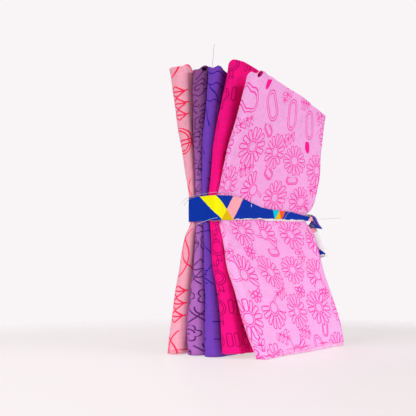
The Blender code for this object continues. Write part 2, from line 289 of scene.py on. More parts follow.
# The photo's camera: place in metres, degrees from +Y towards +X, degrees up, and lens on a 36 mm sensor
CAMERA_PLACE = (-0.4905, -0.3308, 0.0595)
CAMERA_YAW = 51.43
CAMERA_PITCH = 5.66
CAMERA_LENS = 60.41


# ---- shader maths
class Value:
    """A socket that carries a number, so that sums of sockets can be written as sums."""

    def __init__(self, tree, socket):
        self.tree = tree
        self.socket = socket

    def math(self, operation, *others):
        made = self.tree.node("ShaderNodeMath", {"operation": operation}, [self, *others])
        return Value(self.tree, made.outputs[0])

    def within(self, low, high):
        """Held between two values."""
        return self.math("MINIMUM", high).math("MAXIMUM", low)

    def reversed_math(self, operation, other):
        made = self.tree.node("ShaderNodeMath", {"operation": operation}, [other, self])
        return Value(self.tree, made.outputs[0])

    def __add__(self, other):
        return self.math("ADD", other)

    def __radd__(self, other):
        return self.reversed_math("ADD", other)

    def __sub__(self, other):
        return self.math("SUBTRACT", other)

    def __rsub__(self, other):
        return self.reversed_math("SUBTRACT", other)

    def __mul__(self, other):
        return self.math("MULTIPLY", other)

    def __rmul__(self, other):
        return self.reversed_math("MULTIPLY", other)

    def __truediv__(self, other):
        return self.math("DIVIDE", other)

    def __rtruediv__(self, other):
        return self.reversed_math("DIVIDE", other)

    def __neg__(self):
        return self.math("MULTIPLY", -1.0)

    def __abs__(self):
        return self.math("ABSOLUTE")

    def __gt__(self, other):
        return self.math("GREATER_THAN", other)

    def __lt__(self, other):
        return self.math("LESS_THAN", other)


class Tree:
    """A tree's nodes, made by type, settings and inputs."""

    def __init__(self, node_tree):
        self.nodes = node_tree.nodes
        self.links = node_tree.links

    def node(self, kind, settings=None, inputs=()):
        made = self.nodes.new(kind)
        for name, value in (settings or {}).items():
            setattr(made, name, value)
        pairs = inputs.items() if isinstance(inputs, dict) else enumerate(inputs)
        for key, value in pairs:
            self.fill(made.inputs[key], value)
        return made

    def fill(self, socket, value):
        if isinstance(value, Value):
            self.links.new(value.socket, socket)
        elif isinstance(value, bpy.types.NodeSocket):
            self.links.new(value, socket)
        else:
            socket.default_value = value

    def value(self, kind, settings=None, inputs=(), output=0):
        return Value(self, self.node(kind, settings, inputs).outputs[output])

    def mix(self, share, first, second):
        """Colours first and second, mixed by share."""
        made = self.node("ShaderNodeMix", {"data_type": "RGBA", "clamp_factor": True})
        self.fill(made.inputs["Factor"], share)
        self.fill(made.inputs[6], first)
        self.fill(made.inputs[7], second)
        return made.outputs[2]

    def noise(self, vector, scale, detail=2.0, output=0):
        return self.node(
            "ShaderNodeTexNoise", {"noise_dimensions": "3D"},
            {"Vector": vector, "Scale": scale, "Detail": detail, "Roughness": 0.55},
        ).outputs[output]

    def noise_value(self, vector, scale, detail=2.0):
        return Value(self, self.noise(vector, scale, detail))


def power(value, exponent):
    return value.math("POWER", exponent)


def minimum(first, second):
    return first.math("MINIMUM", second)


def maximum(first, second):
    return first.math("MAXIMUM", second)


def length(x, y):
    return (x * x + y * y).math("SQRT")


def fraction(value):
    return value.math("FRACT")


def floor(value):
    return value.math("FLOOR")


def inked(distance, width, soft=0.14):
    """1 on a line of that width, where distance is the way to its middle, in millimetres."""
    return ((width / 2 - distance) / soft + 0.5).within(0.0, 1.0)


def inside(distance, soft=0.14):
    """1 where distance is below 0."""
    return (0.5 - distance / soft).within(0.0, 1.0)


class Plane:
    """A point of the flat cloth in millimetres, that can be shifted, turned and shared out into cells."""

    def __init__(self, x, y):
        self.x = x
        self.y = y

    def moved(self, dx, dy):
        return Plane(self.x - dx, self.y - dy)

    def turned(self, angle):
        """Turned by an angle, a number or a value, in radians."""
        if isinstance(angle, Value):
            c, s = angle.math("COSINE"), angle.math("SINE")
        else:
            c, s = math.cos(angle), math.sin(angle)
        return Plane(self.x * c + self.y * s, self.y * c - self.x * s)

    def cells(self, pitch, shift, jitter, seed):
        """The place in its own cell, from the motif's middle, with three random numbers of the cell."""
        tree = self.x.tree
        row = floor(self.y / pitch)
        along = self.x / pitch + row * shift
        column = floor(along)
        place = tree.node("ShaderNodeCombineXYZ", None, [column, row, seed]).outputs[0]
        random = tree.node("ShaderNodeTexWhiteNoise", {"noise_dimensions": "3D"}, {"Vector": place})
        split = tree.node("ShaderNodeSeparateColor", None, [random.outputs["Color"]])
        chance = [Value(tree, split.outputs[i]) for i in range(3)]
        x = (fraction(along) - 0.5) * pitch - (chance[0] - 0.5) * (2 * jitter)
        y = (fraction(self.y / pitch) - 0.5) * pitch - (chance[1] - 0.5) * (2 * jitter)
        return Plane(x, y), chance, Value(tree, random.outputs["Value"])

    def radius(self):
        return length(self.x, self.y)

    def angle(self):
        return self.y.math("ARCTAN2", self.x)


def oval_edge(at, half_long, half_wide):
    """How far a point is from the edge of an oval, near enough for a drawn line."""
    scaled = length(at.x / half_long, at.y / half_wide)
    return (scaled - 1) * ((half_long * half_wide) ** 0.5)


def blossom(at, radius, petals, line, centre=0.25):
    """An open flower of separate petals round a ring."""
    sector = 2 * math.pi / petals
    turn = (fraction(at.angle() / sector + 0.5) - 0.5) * sector
    r = at.radius()
    middle = (1 + centre) / 2 + 0.05
    wide = radius * middle * math.sin(sector / 2) * 0.72
    half_long = radius * (1 - middle) - wide
    out, side = r * turn.math("COSINE") - radius * middle, r * turn.math("SINE")
    beyond = maximum(abs(out) - half_long, 0.0)
    petal = length(beyond, side / (1 + out * (0.5 / radius))) - wide
    return maximum(inked(abs(petal), line), inked(abs(r - radius * centre), line))


def sprig(at, half_long, line):
    """A stem with a pair of leaves at each step."""
    step = 5.2
    side = abs(at.y)
    leaf = Plane((fraction(at.x / step) - 0.5) * step, side - 3.7).turned(0.9)
    within = inside(abs(at.x) - half_long)
    leaves = inked(abs(oval_edge(leaf, 3.3, 1.45)), line)
    return maximum(leaves, inked(side, line)) * within


def link(at, half_long, radius, line):
    """Two nested rounded loops."""
    beyond = maximum(abs(at.x) - half_long, 0.0)
    away = length(beyond, at.y)
    return maximum(inked(abs(away - radius), line), inked(abs(away - radius * 0.66), line))


def drop(at, half_long, half_wide):
    """A filled oval."""
    return inside(oval_edge(at, half_long, half_wide))


def dotted(at, half_long, line):
    """A row of dots."""
    step = line * 2.1
    dots = inside(length((fraction(at.x / step) - 0.5) * step, at.y) - line * 0.55)
    return dots * inside(abs(at.x) - half_long)


def chosen(chance, low, high):
    return (chance > low) * (chance < high)


def wandering(tree, vector, shift, reach=1.6, scale=28.0):
    """The flat cloth's place in millimetres, led a little astray so that lines look drawn by hand."""
    split = tree.node("ShaderNodeSeparateXYZ", None, [vector])
    wander = tree.node("ShaderNodeSeparateColor", None, [tree.noise(vector, scale, 1.0, output=1)])
    x = Value(tree, split.outputs[0]) * 1000 + (Value(tree, wander.outputs[0]) - 0.5) * (2 * reach) + shift[0]
    y = Value(tree, split.outputs[1]) * 1000 + (Value(tree, wander.outputs[1]) - 0.5) * (2 * reach) + shift[1]
    return Plane(x, y)


def flower_print(at, line):
    """Open blossoms, leafy stems and loops on one scatter, and small flowers between them."""
    cell, chance, kind = at.cells(35.0, 0.41, 2.0, 1.0)
    turned = cell.turned(chance[2] * (2 * math.pi))
    low = turned.moved(0.0, -4.0)
    fan = blossom(low, 16.5, 15, line, 0.27) * maximum(inside(low.y * -1.0 - 0.5), inside(low.radius() - 6.0))
    stalk = inked(abs(abs(low.x - power(low.y * 0.22, 2.0)) - 1.1), line * 0.8) * inside(abs(low.y + 8.6) - 3.6)
    long_blossom = blossom(Plane(turned.x, turned.y * 1.28), 16.4, 14, line, 0.3)
    large = (
        blossom(turned, 15.4, 13, line, 0.28) * chosen(kind, 0.0, 0.26)
        + long_blossom * chosen(kind, 0.26, 0.46)
        + (fan + stalk) * chosen(kind, 0.46, 0.68)
        + link(turned, 6.4, 7.0, line) * chosen(kind, 0.68, 0.88)
        + blossom(turned, 13.0, 9, line, 0.36) * chosen(kind, 0.88, 1.01)
    )
    clear = 1 - inside(cell.radius() - 15.6)
    small_cell, small_chance, small_kind = at.moved(17.5, 17.5).cells(35.0, 0.41, 1.0, 5.0)
    small = small_cell.turned(small_chance[2] * 6.28)
    little = (
        sprig(small, 9.4, line) * chosen(small_kind, 0.0, 0.5)
        + blossom(small, 7.4, 8, line) * chosen(small_kind, 0.5, 0.8)
        + link(small, 3.2, 3.9, line) * chosen(small_kind, 0.8, 0.93)
    )
    side_cell, side_chance, side_kind = at.moved(17.5, 0.0).cells(35.0, 0.41, 1.0, 8.0)
    rows = dotted(side_cell.turned(side_chance[2] * 6.28), 6.4, line)
    solid = drop(small, 6.4, 3.8) * chosen(small_kind, 0.93, 1.01)
    return minimum(large + (little + rows * (side_kind > 0.3)) * clear, 1.0), solid * clear


def ring_print(at, line):
    """Rings in rows, joined by pairs of stems."""
    cell, chance, kind = at.cells(24.0, 0.14, 1.0, 2.0)
    away = cell.radius()
    size = 4.6 + chance[2] * 1.6
    rings = inked(abs(away - size), line) + inked(abs(away - size + 1.7), line) * (kind > 0.35)
    stems = inked(abs(abs(cell.x - cell.y * 0.12) - 1.5), line) * (away > size) * (kind > 0.2)
    knobs = inked(abs(length(cell.x, abs(cell.y) - 12.0) - 2.5), line)
    beyond = maximum(abs(cell.y - 1.0) - 3.4, 0.0)
    loops = inked(abs(length(abs(cell.x) - 9.6, beyond) - 1.7), line) * (kind > 0.5)
    return minimum(rings + stems + knobs + loops, 1.0)


def scallop_print(at, line):
    """Cloud edges, and crossing and bent lines."""
    cell, chance, kind = at.cells(14.0, 0.37, 1.0, 3.0)
    away, turn = cell.radius(), cell.angle()
    bulge = abs((turn * 2.5).math("SINE"))
    cloud = inked(abs(away - 4.4 - bulge * 2.1), line)
    curl = inked(abs(away - 2.0 - turn * 0.5), line)
    cross = inked(abs(abs(cell.x) - abs(cell.y)) * 0.7071, line) * inside(away - 8.0)
    bent = inked(abs(abs(cell.x) * 0.72 + cell.y - 2.0) * 0.81, line) * inside(abs(cell.x) - 8.0)
    level = inked(abs(cell.y + 5.5), line) * inside(abs(cell.x) - 8.0)
    arcs = inked(abs(cell.moved(-5.0, 7.0).radius() - 6.6), line) * inside(away - 8.0)
    clouds = (cloud + curl) * chosen(kind, 0.0, 0.5)
    lines = cross * chosen(kind, 0.5, 0.72) + (bent + level) * chosen(kind, 0.72, 1.01)
    return minimum(clouds + lines + arcs * chosen(kind, 0.3, 0.8), 1.0)


def lattice_print(at, line):
    """Slanting ticks between level lines, with bare stretches."""
    cell, chance, kind = at.cells(21.0, 0.17, 1.2, 4.0)
    level = inked(abs(abs(cell.y) - 6.4), line) * inside(abs(cell.x) - 9.5)
    slant = cell.turned(0.6 + chance[2])
    ticks = inked(abs(slant.y), line) * inside(abs(slant.x) - 8.0)
    angle = inked(abs(abs(cell.y - 1.0) + cell.x * 0.9 - 3.0) * 0.74, line) * inside(abs(cell.x) - 5.5)
    combs = inked(abs(fraction(cell.y / 3.4) - 0.5) * 3.4, line) * inside(abs(cell.x - 3.0) - 3.6)
    combs = combs * inside(abs(cell.y) - 6.8)
    marks = level * (kind > 0.68) + ticks * (kind > 0.44)
    return minimum(marks + angle * chosen(kind, 0.2, 0.48) + combs * chosen(kind, 0.0, 0.26), 1.0)


def arc_print(at, line):
    """Large crossing curves, rings on pairs of arcs and stacked diamonds."""
    cell, chance, kind = at.cells(40.0, 0.0, 1.5, 9.0)
    away = cell.radius()
    cut = inside(away - 19.5)
    crossing = (
        inked(abs(cell.moved(-15.0, 5.0).radius() - 18.5), line)
        + inked(abs(cell.moved(16.0, -3.0).radius() - 19.5), line)
    ) * cut
    low = cell.moved(-3.0, -10.0).radius()
    pair = (inked(abs(low - 17.0), line) + inked(abs(low - 20.0), line)) * inside(abs(cell.x) - 13.0)
    high = cell.moved(3.0, 9.0).radius()
    ring = inked(abs(high - 8.0), line) + inked(abs(high - 10.4), line)
    rise = abs((fraction(cell.y / 9.6 + 0.5) - 0.5) * 9.6)
    diamonds = inked(abs(abs(cell.x) * 0.72 + rise - 4.4) * 0.81, line)
    stack = (diamonds + inked(rise, line) * inside(abs(cell.x) - 8.2)) * inside(abs(cell.y) - 14.2)
    one, two = chosen(kind, 0.0, 0.36), chosen(kind, 0.36, 0.66)
    return minimum(crossing * one + (pair + ring) * two + stack * chosen(kind, 0.66, 1.01), 1.0)


def new_material(name):
    """A material, its tree and its shader."""
    material = bpy.data.materials.new(name)
    material.use_nodes = True
    return material, Tree(material.node_tree), material.node_tree.nodes["Principled BSDF"]


def weave(tree, vector):
    """Height of a plain weave, from 0 to 1, on the flat cloth's own threads."""
    split = tree.node("ShaderNodeSeparateXYZ", None, [vector])
    across = (Value(tree, split.outputs[0]) * (1000 * math.pi / WEAVE_PITCH)).math("SINE")
    along = (Value(tree, split.outputs[1]) * (1000 * math.pi / WEAVE_PITCH)).math("SINE")
    return across * along * 0.5 + 0.5


def cotton(name, paint, sheen_tint=(1.0, 1.0, 1.0)):
    """A plain weave cotton. paint gives its colour from the tree and the flat cloth's coordinates."""
    material, tree, shader = new_material(name)
    flat = tree.node("ShaderNodeUVMap", {"uv_map": "flat_cut"}).outputs[0]
    warp = tree.node("ShaderNodeVectorMath", {"operation": "MULTIPLY"}, [flat, (1.0, 0.16, 1.0)]).outputs[0]
    weft = tree.node("ShaderNodeVectorMath", {"operation": "MULTIPLY"}, [flat, (0.16, 1.0, 1.0)]).outputs[0]
    slub = (tree.noise_value(warp, 560.0, 3.0) + tree.noise_value(weft, 560.0, 3.0)) * 0.5
    broad = tree.noise_value(flat, 26.0, 2.0)
    tree.fill(shader.inputs["Base Color"], paint(tree, flat, broad, slub))
    tree.fill(shader.inputs["Roughness"], COTTON_ROUGHNESS + (slub - 0.5) * 0.16)
    shader.inputs["Sheen Weight"].default_value = COTTON_SHEEN
    shader.inputs["Sheen Roughness"].default_value = 0.5
    shader.inputs["Sheen Tint"].default_value = (*sheen_tint, 1.0)
    shader.inputs["Specular IOR Level"].default_value = 0.12
    height = weave(tree, flat) * 0.6 + slub * 0.8 + broad * 1.2
    bump = tree.node("ShaderNodeBump", None, {"Strength": 0.5, "Distance": WEAVE_BUMP, "Height": height})
    tree.fill(shader.inputs["Normal"], bump.outputs[0])
    return material


def shaded(tree, colour, broad, slub, depth=0.1):
    """A colour a little uneven over the cloth."""
    darker = tuple(c * (1 - depth * 2.2) for c in colour)
    share = broad * 0.5 + slub * 2.6 - 1.3
    return tree.mix(share, (*colour, 1.0), (*darker, 1.0))


CURL_SHADE_COLOURS = ((0.004, 0.001, 0.006), (0.5, 0.0, 0.14))  # painted shade inside the open curl of a dark cut, and inside that of a light one


def printed(ground, ink, draw, line, shift, solid_ink=None, dusk=None, edge_ink=None, mouth_shade=None):
    """Paint for a cotton with a line print. dusk is the ground's colour about the cut's middle fold, edge_ink that of
    the uneven line along its cut edges, and the last argument the flat place and size of a curl's open end, over which
    the shade inside the curl is painted in a dark colour."""

    def paint(tree, flat, broad, slub):
        at = wandering(tree, flat, shift)
        drawn = draw(at, line)
        base = shaded(tree, ground, broad, slub)
        split = tree.node("ShaderNodeSeparateXYZ", None, [flat])
        u, v = Value(tree, split.outputs[0]) * 1000, Value(tree, split.outputs[1]) * 1000
        from_fold = abs(v - CUT_V / 2)
        if dusk is not None:
            share = ((105 - from_fold) / 60).within(0.0, 1.0)
            base = tree.mix(share, base, shaded(tree, dusk, broad, slub))
        if edge_ink is not None:
            wavering = tree.noise_value(flat, 90.0, 2.0)
            patchy = ((tree.noise_value(flat, 45.0, 1.0) - 0.42) * 5).within(0.12, 1.0)
            at_cut = inked(abs(CUT_V / 2 - from_fold - 0.6 - wavering * 3.4), 1.2, 0.5) * patchy
            at_fold = inked(from_fold, 1.2, 0.5) * (u < 118)
            base = tree.mix(maximum(at_cut * 0.8, at_fold * 0.5), base, (*edge_ink, 1.0))
        if solid_ink is not None:
            drawn, filled = drawn
            base = tree.mix(filled, base, (*solid_ink, 1.0))
        worn = drawn * (0.86 + slub * 0.2)
        shown = tree.mix(worn, base, (*ink, 1.0))
        # painted shade: the curl's open end is painted dark over the print, standing in for the shade inside it
        if mouth_shade is not None:
            place_u, place_v, half_wide, half_high = mouth_shade
            away = length((u - place_u) / half_wide, (v - place_v) / half_high)
            shown = tree.mix(inside(away - 1.0, 0.25), shown, (*CURL_SHADE_COLOURS[ground[0] > 0.5], 1.0))
        return shown

    return paint


def wrong_side(paint_face, ground):
    """Paint for the side of a cotton that has no print: its ground and its lines, showing palely through."""
    pale = tuple(c * 0.45 + 0.8 * 0.55 for c in ground)

    def paint(tree, flat, broad, slub):
        return tree.mix(WRONG_SIDE_SHOW, (*pale, 1.0), paint_face(tree, flat, broad, slub))

    return paint


def linear(colour):
    """Scene values of a colour given from 0 to 255 as a screen shows it."""
    shares = [c / 255 for c in colour]
    return tuple(c / 12.92 if c <= 0.04045 else ((c + 0.055) / 1.055) ** 2.4 for c in shares)


# ---- folded cuts
def runs(height, heights, values):
    """Straight runs through the values, carried on past both ends."""
    heights, values = np.asarray(heights, float), np.asarray(values, float)
    inner = np.interp(height, heights, values)
    low = values[0] + (height - heights[0]) * (values[1] - values[0]) / (heights[1] - heights[0])
    high = values[-1] + (height - heights[-1]) * (values[-1] - values[-2]) / (heights[-1] - heights[-2])
    return np.where(height < heights[0], low, np.where(height > heights[-1], high, inner))


def softened(height, heights, values):
    """Values at many heights, from straight runs whose corners are rounded, more so away from the strip."""
    reach = np.clip(3.5 + 0.28 * (np.abs(height - WAIST) - 20), 3.5, 11)
    steps = np.linspace(-1, 1, 9)
    return np.mean([runs(height + reach * step, heights, values) for step in steps], axis=0)


def section_at(quarter, height):
    """Where the spine and the loose edges of a cut lie, at many heights."""
    flares = quarter.low + quarter.high
    below = len(quarter.low)

    def rows(grip, fields, waist_values):
        heights = [flare.height for flare in flares]
        heights[below:below] = [WAIST - grip, WAIST + grip]
        found = []
        for field, at_waist in zip(fields, waist_values):
            column = [getattr(flare, field) for flare in flares]
            column[below:below] = [at_waist, at_waist]
            found.append(softened(height, heights, column))
        return found

    spine = rows(
        SPINE_GRIP, ("spine_x", "spine_y", "spine_thick"), (SPINE_X, quarter.place * SPINE_PITCH, SPINE_THICK)
    )
    far = rows(FAR_GRIP, ("far_y", "far_thick"), (quarter.place * FAR_PITCH, FAR_THICK))
    return spine + far


def spine_swell(quarter, height):
    """What the spine adds beside and under the strip, where the cloth bunches: to its x, its y and its thickness."""
    share = np.clip((height - STRIP_LOW) / (STRIP_HIGH - STRIP_LOW), 0, 1)
    held = smooth_step(height, STRIP_LOW - 42, STRIP_LOW) * (1 - smooth_step(height, STRIP_HIGH, STRIP_HIGH + 40))
    plain = np.array([SPINE_X, quarter.place * SPINE_PITCH, SPINE_THICK])
    under, over = np.array(quarter.under_strip) - plain, np.array(quarter.over_strip) - plain
    return [held * (u + (o - u) * share) for u, o in zip(under, over)]


def fold_columns():
    """The stretches of the fold line, each with the shares of its columns, closer together near the spine."""
    def even(count, power=1.0):
        return np.linspace(0, 1, count + 1)[:-1] ** power

    return (
        ("front", 1 - (1 - even(COVER_COLUMNS)) ** 1.4),
        ("spine", even(SPINE_COLUMNS)),
        ("back", even(BACK_COLUMNS, 1.4)),
        ("far_fold", even(FAR_FOLD_COLUMNS)),
        ("inner_back", even(INNER_COLUMNS)),
        ("inner_spine", even(INNER_SPINE_COLUMNS)),
        ("inner_front", np.append(even(INNER_COLUMNS), 1.0)),
    )


def fold_lines(section, swell, neck):
    """Plan of the folded cloth: the leaf's middle line, an x and a y for each column and height."""
    spine_x, spine_y, spine_thick, far_y, far_thick = (part[None, :] for part in section)
    swell_x, swell_y, swell_thick = (part[None, :] for part in swell)
    spine_reach = (spine_thick - LEAF) / 2
    far_reach = (far_thick - LEAF) / 2
    full_reach = spine_reach + swell_thick / 2
    spine_depth = full_reach * SPINE_ROUND
    spine_centre = spine_x + swell_x + LEAF / 2 + spine_depth
    fold_reach = far_reach * (1 - INNER_LANE) / 2
    far_centre = FAR_X - LEAF / 2 - fold_reach

    def leaf(lane, start, end, share):
        x = start + (end - start) * share
        way = (x - spine_centre) / (far_centre - spine_centre)
        near = 1 - smooth_step(x - spine_centre, 0, neck)
        middle = spine_y + (far_y - spine_y) * way + near * swell_y
        return x, middle + lane * (spine_reach + (far_reach - spine_reach) * way + near * swell_thick / 2)

    def spine(lane, first_side, share):
        turn = math.pi * share
        depth = lane * spine_depth * np.sin(turn)
        return spine_centre - depth, spine_y + swell_y + lane * full_reach * first_side * np.cos(turn)

    def far_fold(share):
        turn = math.pi * share
        lane = (1 + INNER_LANE) / 2
        return far_centre + fold_reach * np.sin(turn), far_y + lane * far_reach + fold_reach * np.cos(turn)

    made = {
        "front": lambda s: leaf(-1, FAR_X, spine_centre, s),
        "spine": lambda s: spine(1, -1, s),
        "back": lambda s: leaf(1, spine_centre, far_centre, s),
        "far_fold": far_fold,
        "inner_back": lambda s: leaf(INNER_LANE, far_centre, spine_centre, s),
        "inner_spine": lambda s: spine(INNER_LANE, 1, s),
        "inner_front": lambda s: leaf(-INNER_LANE, spine_centre, FAR_X - RAW_STEP, s),
    }
    parts = [made[name](shares[:, None]) for name, shares in fold_columns()]
    return np.concatenate([p[0] for p in parts]), np.concatenate([p[1] for p in parts])


def waves(seed, x, z, wavelengths, count=5):
    """Smooth uneven waves about 0, mostly within 1, from a fixed seed."""
    random = np.random.default_rng(seed)
    total = 0.0
    for _ in range(count):
        wave_x = random.uniform(*wavelengths)
        wave_z = random.uniform(*wavelengths) * random.choice([-1, 1])
        total = total + np.sin(2 * math.pi * (x / wave_x + z / wave_z) + random.uniform(0, 6.28))
    return total / math.sqrt(count * 1.4)


def smooth_step(value, low, high):
    share = np.clip((value - low) / (high - low), 0, 1)
    return share * share * (3 - 2 * share)


def leaf_sway(quarter, names, along, x, z):
    """How far the cloth stands off its plain fold, outwards, at each column and height."""
    clear = np.maximum(smooth_step(z, 126, 150), smooth_step(-z, -98, -74))
    ends = np.maximum(smooth_step(z, 190, 226), smooth_step(-z, -30, 0))
    sway = 0.34 * clear * waves(quarter.seed, along, z, (70, 160))
    sway = sway + 0.22 * ends * waves(quarter.seed + 1, along, z, (22, 60))
    spine = np.isin(names, ["spine"])[:, None]
    sway = sway + spine * clear * 0.35 * waves(quarter.seed + 2, along * 0.2, z, (30, 90))
    free_face = {"fat_quarter_light_pink": "front", "fat_quarter_peach": "back"}.get(quarter.node)
    face = np.isin(names, [free_face])[:, None]
    sway = sway + face * clear * 0.75 * waves(quarter.seed + 3, along, z, (60, 130))
    near_knot = smooth_step(x, -12, 40)
    bottom, top = strip_edges_at(x)
    away = np.maximum(bottom - z, z - top)
    pucker = smooth_step(away, 0.5, 7) * np.exp(-np.maximum(away, 0) / 13)
    gathers = np.sin(x * 0.62 + 0.05 * z + 1.3 * np.sin(x * 0.21)) + 0.5 * np.sin(x * 1.13 - 0.03 * z)
    reach = np.hypot(FAR_X + 2 - x, z - 113)
    turn = np.arctan2(z - 113, FAR_X + 2 - x)
    drag = smooth_step(reach, 4, 16) * np.exp(-reach / 32) * np.cos(8.5 * turn + 0.6 * np.sin(3 * turn)) * clear_of(z)
    return sway + face * (pucker * (0.25 + 0.4 * near_knot) * gathers + 3.2 * drag)


def clear_of(z):
    """0 under the strip's narrow end, 1 away from it."""
    return smooth_step(np.abs(z - 113), 3, 9)


def loosen_front_cover(points, names):
    """Lets the front cover's raw edge reach past the leaves under it, and spring out beside the knot."""
    front = np.nonzero(names == "front")[0]
    x, z = points[front, :, 0], points[front, :, 2]
    off_strip = smooth_step(np.abs(z - 113), 2.9, 8)
    over = smooth_step(z, 115.8, 122) * (1 - smooth_step(z, 146, 174))
    under = smooth_step(110.5 - z, 0, 6) * (1 - smooth_step(110.5 - z, 26, 52))
    points[front, :, 0] += 2.6 * off_strip * smooth_step(x, 6, 62)
    points[front, :, 1] -= (0.5 * off_strip + 3.4 * over + 1.4 * under) * smooth_step(x, 4, 60)


def row_heights(low, top):
    """Heights of the outer layer's rows at each column, level about the waist."""
    share = np.linspace(0, 1, LOW_ROWS + 1)[:-1]
    rise = np.linspace(0, 1, HIGH_ROWS + 1)[1:]
    level = np.linspace(-WAIST_HALF, WAIST_HALF, WAIST_ROWS)
    bottom = low[:, None] + (WAIST - WAIST_HALF - low[:, None]) * share[None, :]
    middle = np.broadcast_to(WAIST + level, (len(low), WAIST_ROWS))
    high = (WAIST + WAIST_HALF) + (top[:, None] - WAIST - WAIST_HALF) * (1 - (1 - rise[None, :]) ** 1.5)
    return np.concatenate([bottom, middle, high], axis=1)


def pit_depth(quarter, along, z, inner, reach):
    """How deep both layers are pushed in where the top fold curls open."""
    if not quarter.pit:
        return 0.0
    pit = quarter.pit
    centre = np.interp(pit.along, [c[0] for c in quarter.crown], [c[1] for c in quarter.crown])
    away = np.hypot((along[:, None] - pit.along) / pit.half_wide, (z - (centre - pit.below)) / pit.half_high)
    return pit.depth * (1 - smooth_step(away / reach, 0.8, 1.15)) * (~inner)[:, None]


def sheet_points(quarter):
    """Points of the folded sheet, columns by rows by three, and its flat coordinates, columns by rows by two."""
    columns = fold_columns()
    names = np.concatenate([[name] * len(shares) for name, shares in columns])
    level = np.array([185.0])
    neck = FRONT_NECK if quarter.place == -2 else SPINE_NECK
    ref_x, ref_y = fold_lines(section_at(quarter, level), spine_swell(quarter, level), neck)
    steps = np.hypot(np.diff(ref_x[:, 0]), np.diff(ref_y[:, 0]))
    flat_u = np.concatenate([[0], np.cumsum(steps)])
    flat_u *= CUT_U / flat_u[-1]
    spine_middle = flat_u[names == "spine"].mean()
    along = flat_u - spine_middle
    inner = np.isin(names, ["inner_back", "inner_spine", "inner_front"])
    # the inner leaves mirror the outer ones, so they take their heights from the same places along the fold
    half = flat_u[names == "far_fold"].mean()
    mirrored = np.where(flat_u > half, 2 * half - flat_u, flat_u) - spine_middle
    crown = np.interp(mirrored, [c[0] for c in quarter.crown], [c[1] for c in quarter.crown])
    crown = crown + 0.25 * waves(quarter.seed + 5, along, 0, (18, 50)) - np.where(inner, 1.0, 0.0)
    foot = np.interp(mirrored, [f[0] for f in quarter.foot], [f[1] for f in quarter.foot])
    foot = foot + 0.18 * waves(quarter.seed + 6, along, 0, (9, 30))
    base = 3.0 if quarter.place == -1 else 0.0
    foot = np.maximum(foot, base + 0.05)
    under_foot = base + 0.15 + 0.12 * (1 + waves(quarter.seed + 7, along, 0, (8, 26)))
    under_foot = np.maximum(under_foot, base + 0.02)

    puff = 0.55 + 0.2 * (1 + waves(quarter.seed + 8, along, 0, (15, 40)))
    puff = np.where(names == "inner_spine", 0.5, puff)

    def lay(heights, side, push, reach):
        """Points of one layer at its heights, side 1 the outer one and -1 the one under it, pushed in at the curl."""
        levels = np.unique(np.round(heights.ravel(), 3))
        section = section_at(quarter, np.maximum(levels, base + 1.5))
        line_x, line_y = fold_lines(section, spine_swell(quarter, levels), neck)
        tangent_x, tangent_y = np.gradient(line_x, axis=0), np.gradient(line_y, axis=0)
        size = np.maximum(np.hypot(tangent_x, tangent_y), 1e-6)
        x, y, out_x, out_y = (
            np.stack([np.interp(z, levels, run) for z, run in zip(heights, lines)])
            for lines in (line_x, line_y, -tangent_y / size, tangent_x / size)
        )
        x, y = x + out_x * side * LAYER_STEP, y + out_y * side * LAYER_STEP
        near_top = smooth_step(heights, (crown - puff)[:, None] - 7, (crown - puff)[:, None])
        off = leaf_sway(quarter, names, along[:, None], x, heights) + side * (puff[:, None] - LAYER_STEP) * near_top
        off = off - push * pit_depth(quarter, along, heights, inner, reach)
        return np.stack([x + out_x * off, y + out_y * off, heights], axis=2)

    # the under layer's mesh is coarser, so it is pushed a little deeper and wider at the curl
    outer_z, under_z = row_heights(foot, crown - puff), row_heights(under_foot, crown - puff)
    outer, under = lay(outer_z, 1, 1.0, 1.0), lay(under_z, -1, 1.08, 1.12)
    near_fold = np.arange(under.shape[1] - 1, under.shape[1] - 11, -1)
    kept = np.concatenate([near_fold, np.arange(near_fold[-1] - UNDER_SHARE, 0, -UNDER_SHARE), [0]])

    # over the top, from the outer layer's last point to the under layer's
    start, end = outer[:, -1], under[:, -1]
    middle, half_way = (start + end) / 2, (start - end) / 2
    radius = np.linalg.norm(half_way, axis=1)
    arc = []
    for turn in np.linspace(0, math.pi, TOP_ROWS + 2)[1:-1]:
        point = middle + half_way * math.cos(turn)
        point[:, 2] += radius * math.sin(turn)
        arc.append(point)
    points = np.concatenate([outer, np.stack(arc, axis=1), under[:, kept[1:]]], axis=1)

    v_outer = (CUT_V / 2) * (outer_z - foot[:, None]) / (crown - foot)[:, None]
    v_under = CUT_V - (CUT_V / 2) * (under_z - under_foot[:, None]) / (crown - under_foot)[:, None]
    v_top = np.linspace(v_outer[:, -1], v_under[:, -1], TOP_ROWS + 2, axis=1)[:, 1:-1]
    v = np.concatenate([v_outer, v_top, v_under[:, kept[1:]]], axis=1)
    u = np.broadcast_to(flat_u[:, None], v.shape)
    if quarter.place == -2:
        loosen_front_cover(points, names)
    return points, np.stack([u, v], axis=2)


def grid_mesh(name, points, flat, materials):
    """A mesh of a grid of points in millimetres, with its flat coordinates in metres as a UV map."""
    columns, rows = points.shape[:2]
    index = np.arange(columns * rows).reshape(columns, rows)
    a, b = index[:-1, :-1].ravel(), index[1:, :-1].ravel()
    c, d = index[1:, 1:].ravel(), index[:-1, 1:].ravel()
    quads = np.stack([a, d, c, b], axis=1)
    mesh = bpy.data.meshes.new(name)
    placed = (points.reshape(-1, 3) - CENTRE) * MM
    mesh.from_pydata(placed.tolist(), [], quads.tolist())
    layer = mesh.uv_layers.new(name="flat_cut")
    layer.data.foreach_set("uv", (flat.reshape(-1, 2)[quads.ravel()] * MM).ravel())
    for material in materials:
        mesh.materials.append(material)
    mesh.shade_smooth()
    return mesh


def new_piece(name, mesh):
    thing = bpy.data.objects.new(name, mesh)
    bpy.context.scene.collection.objects.link(thing)
    return thing


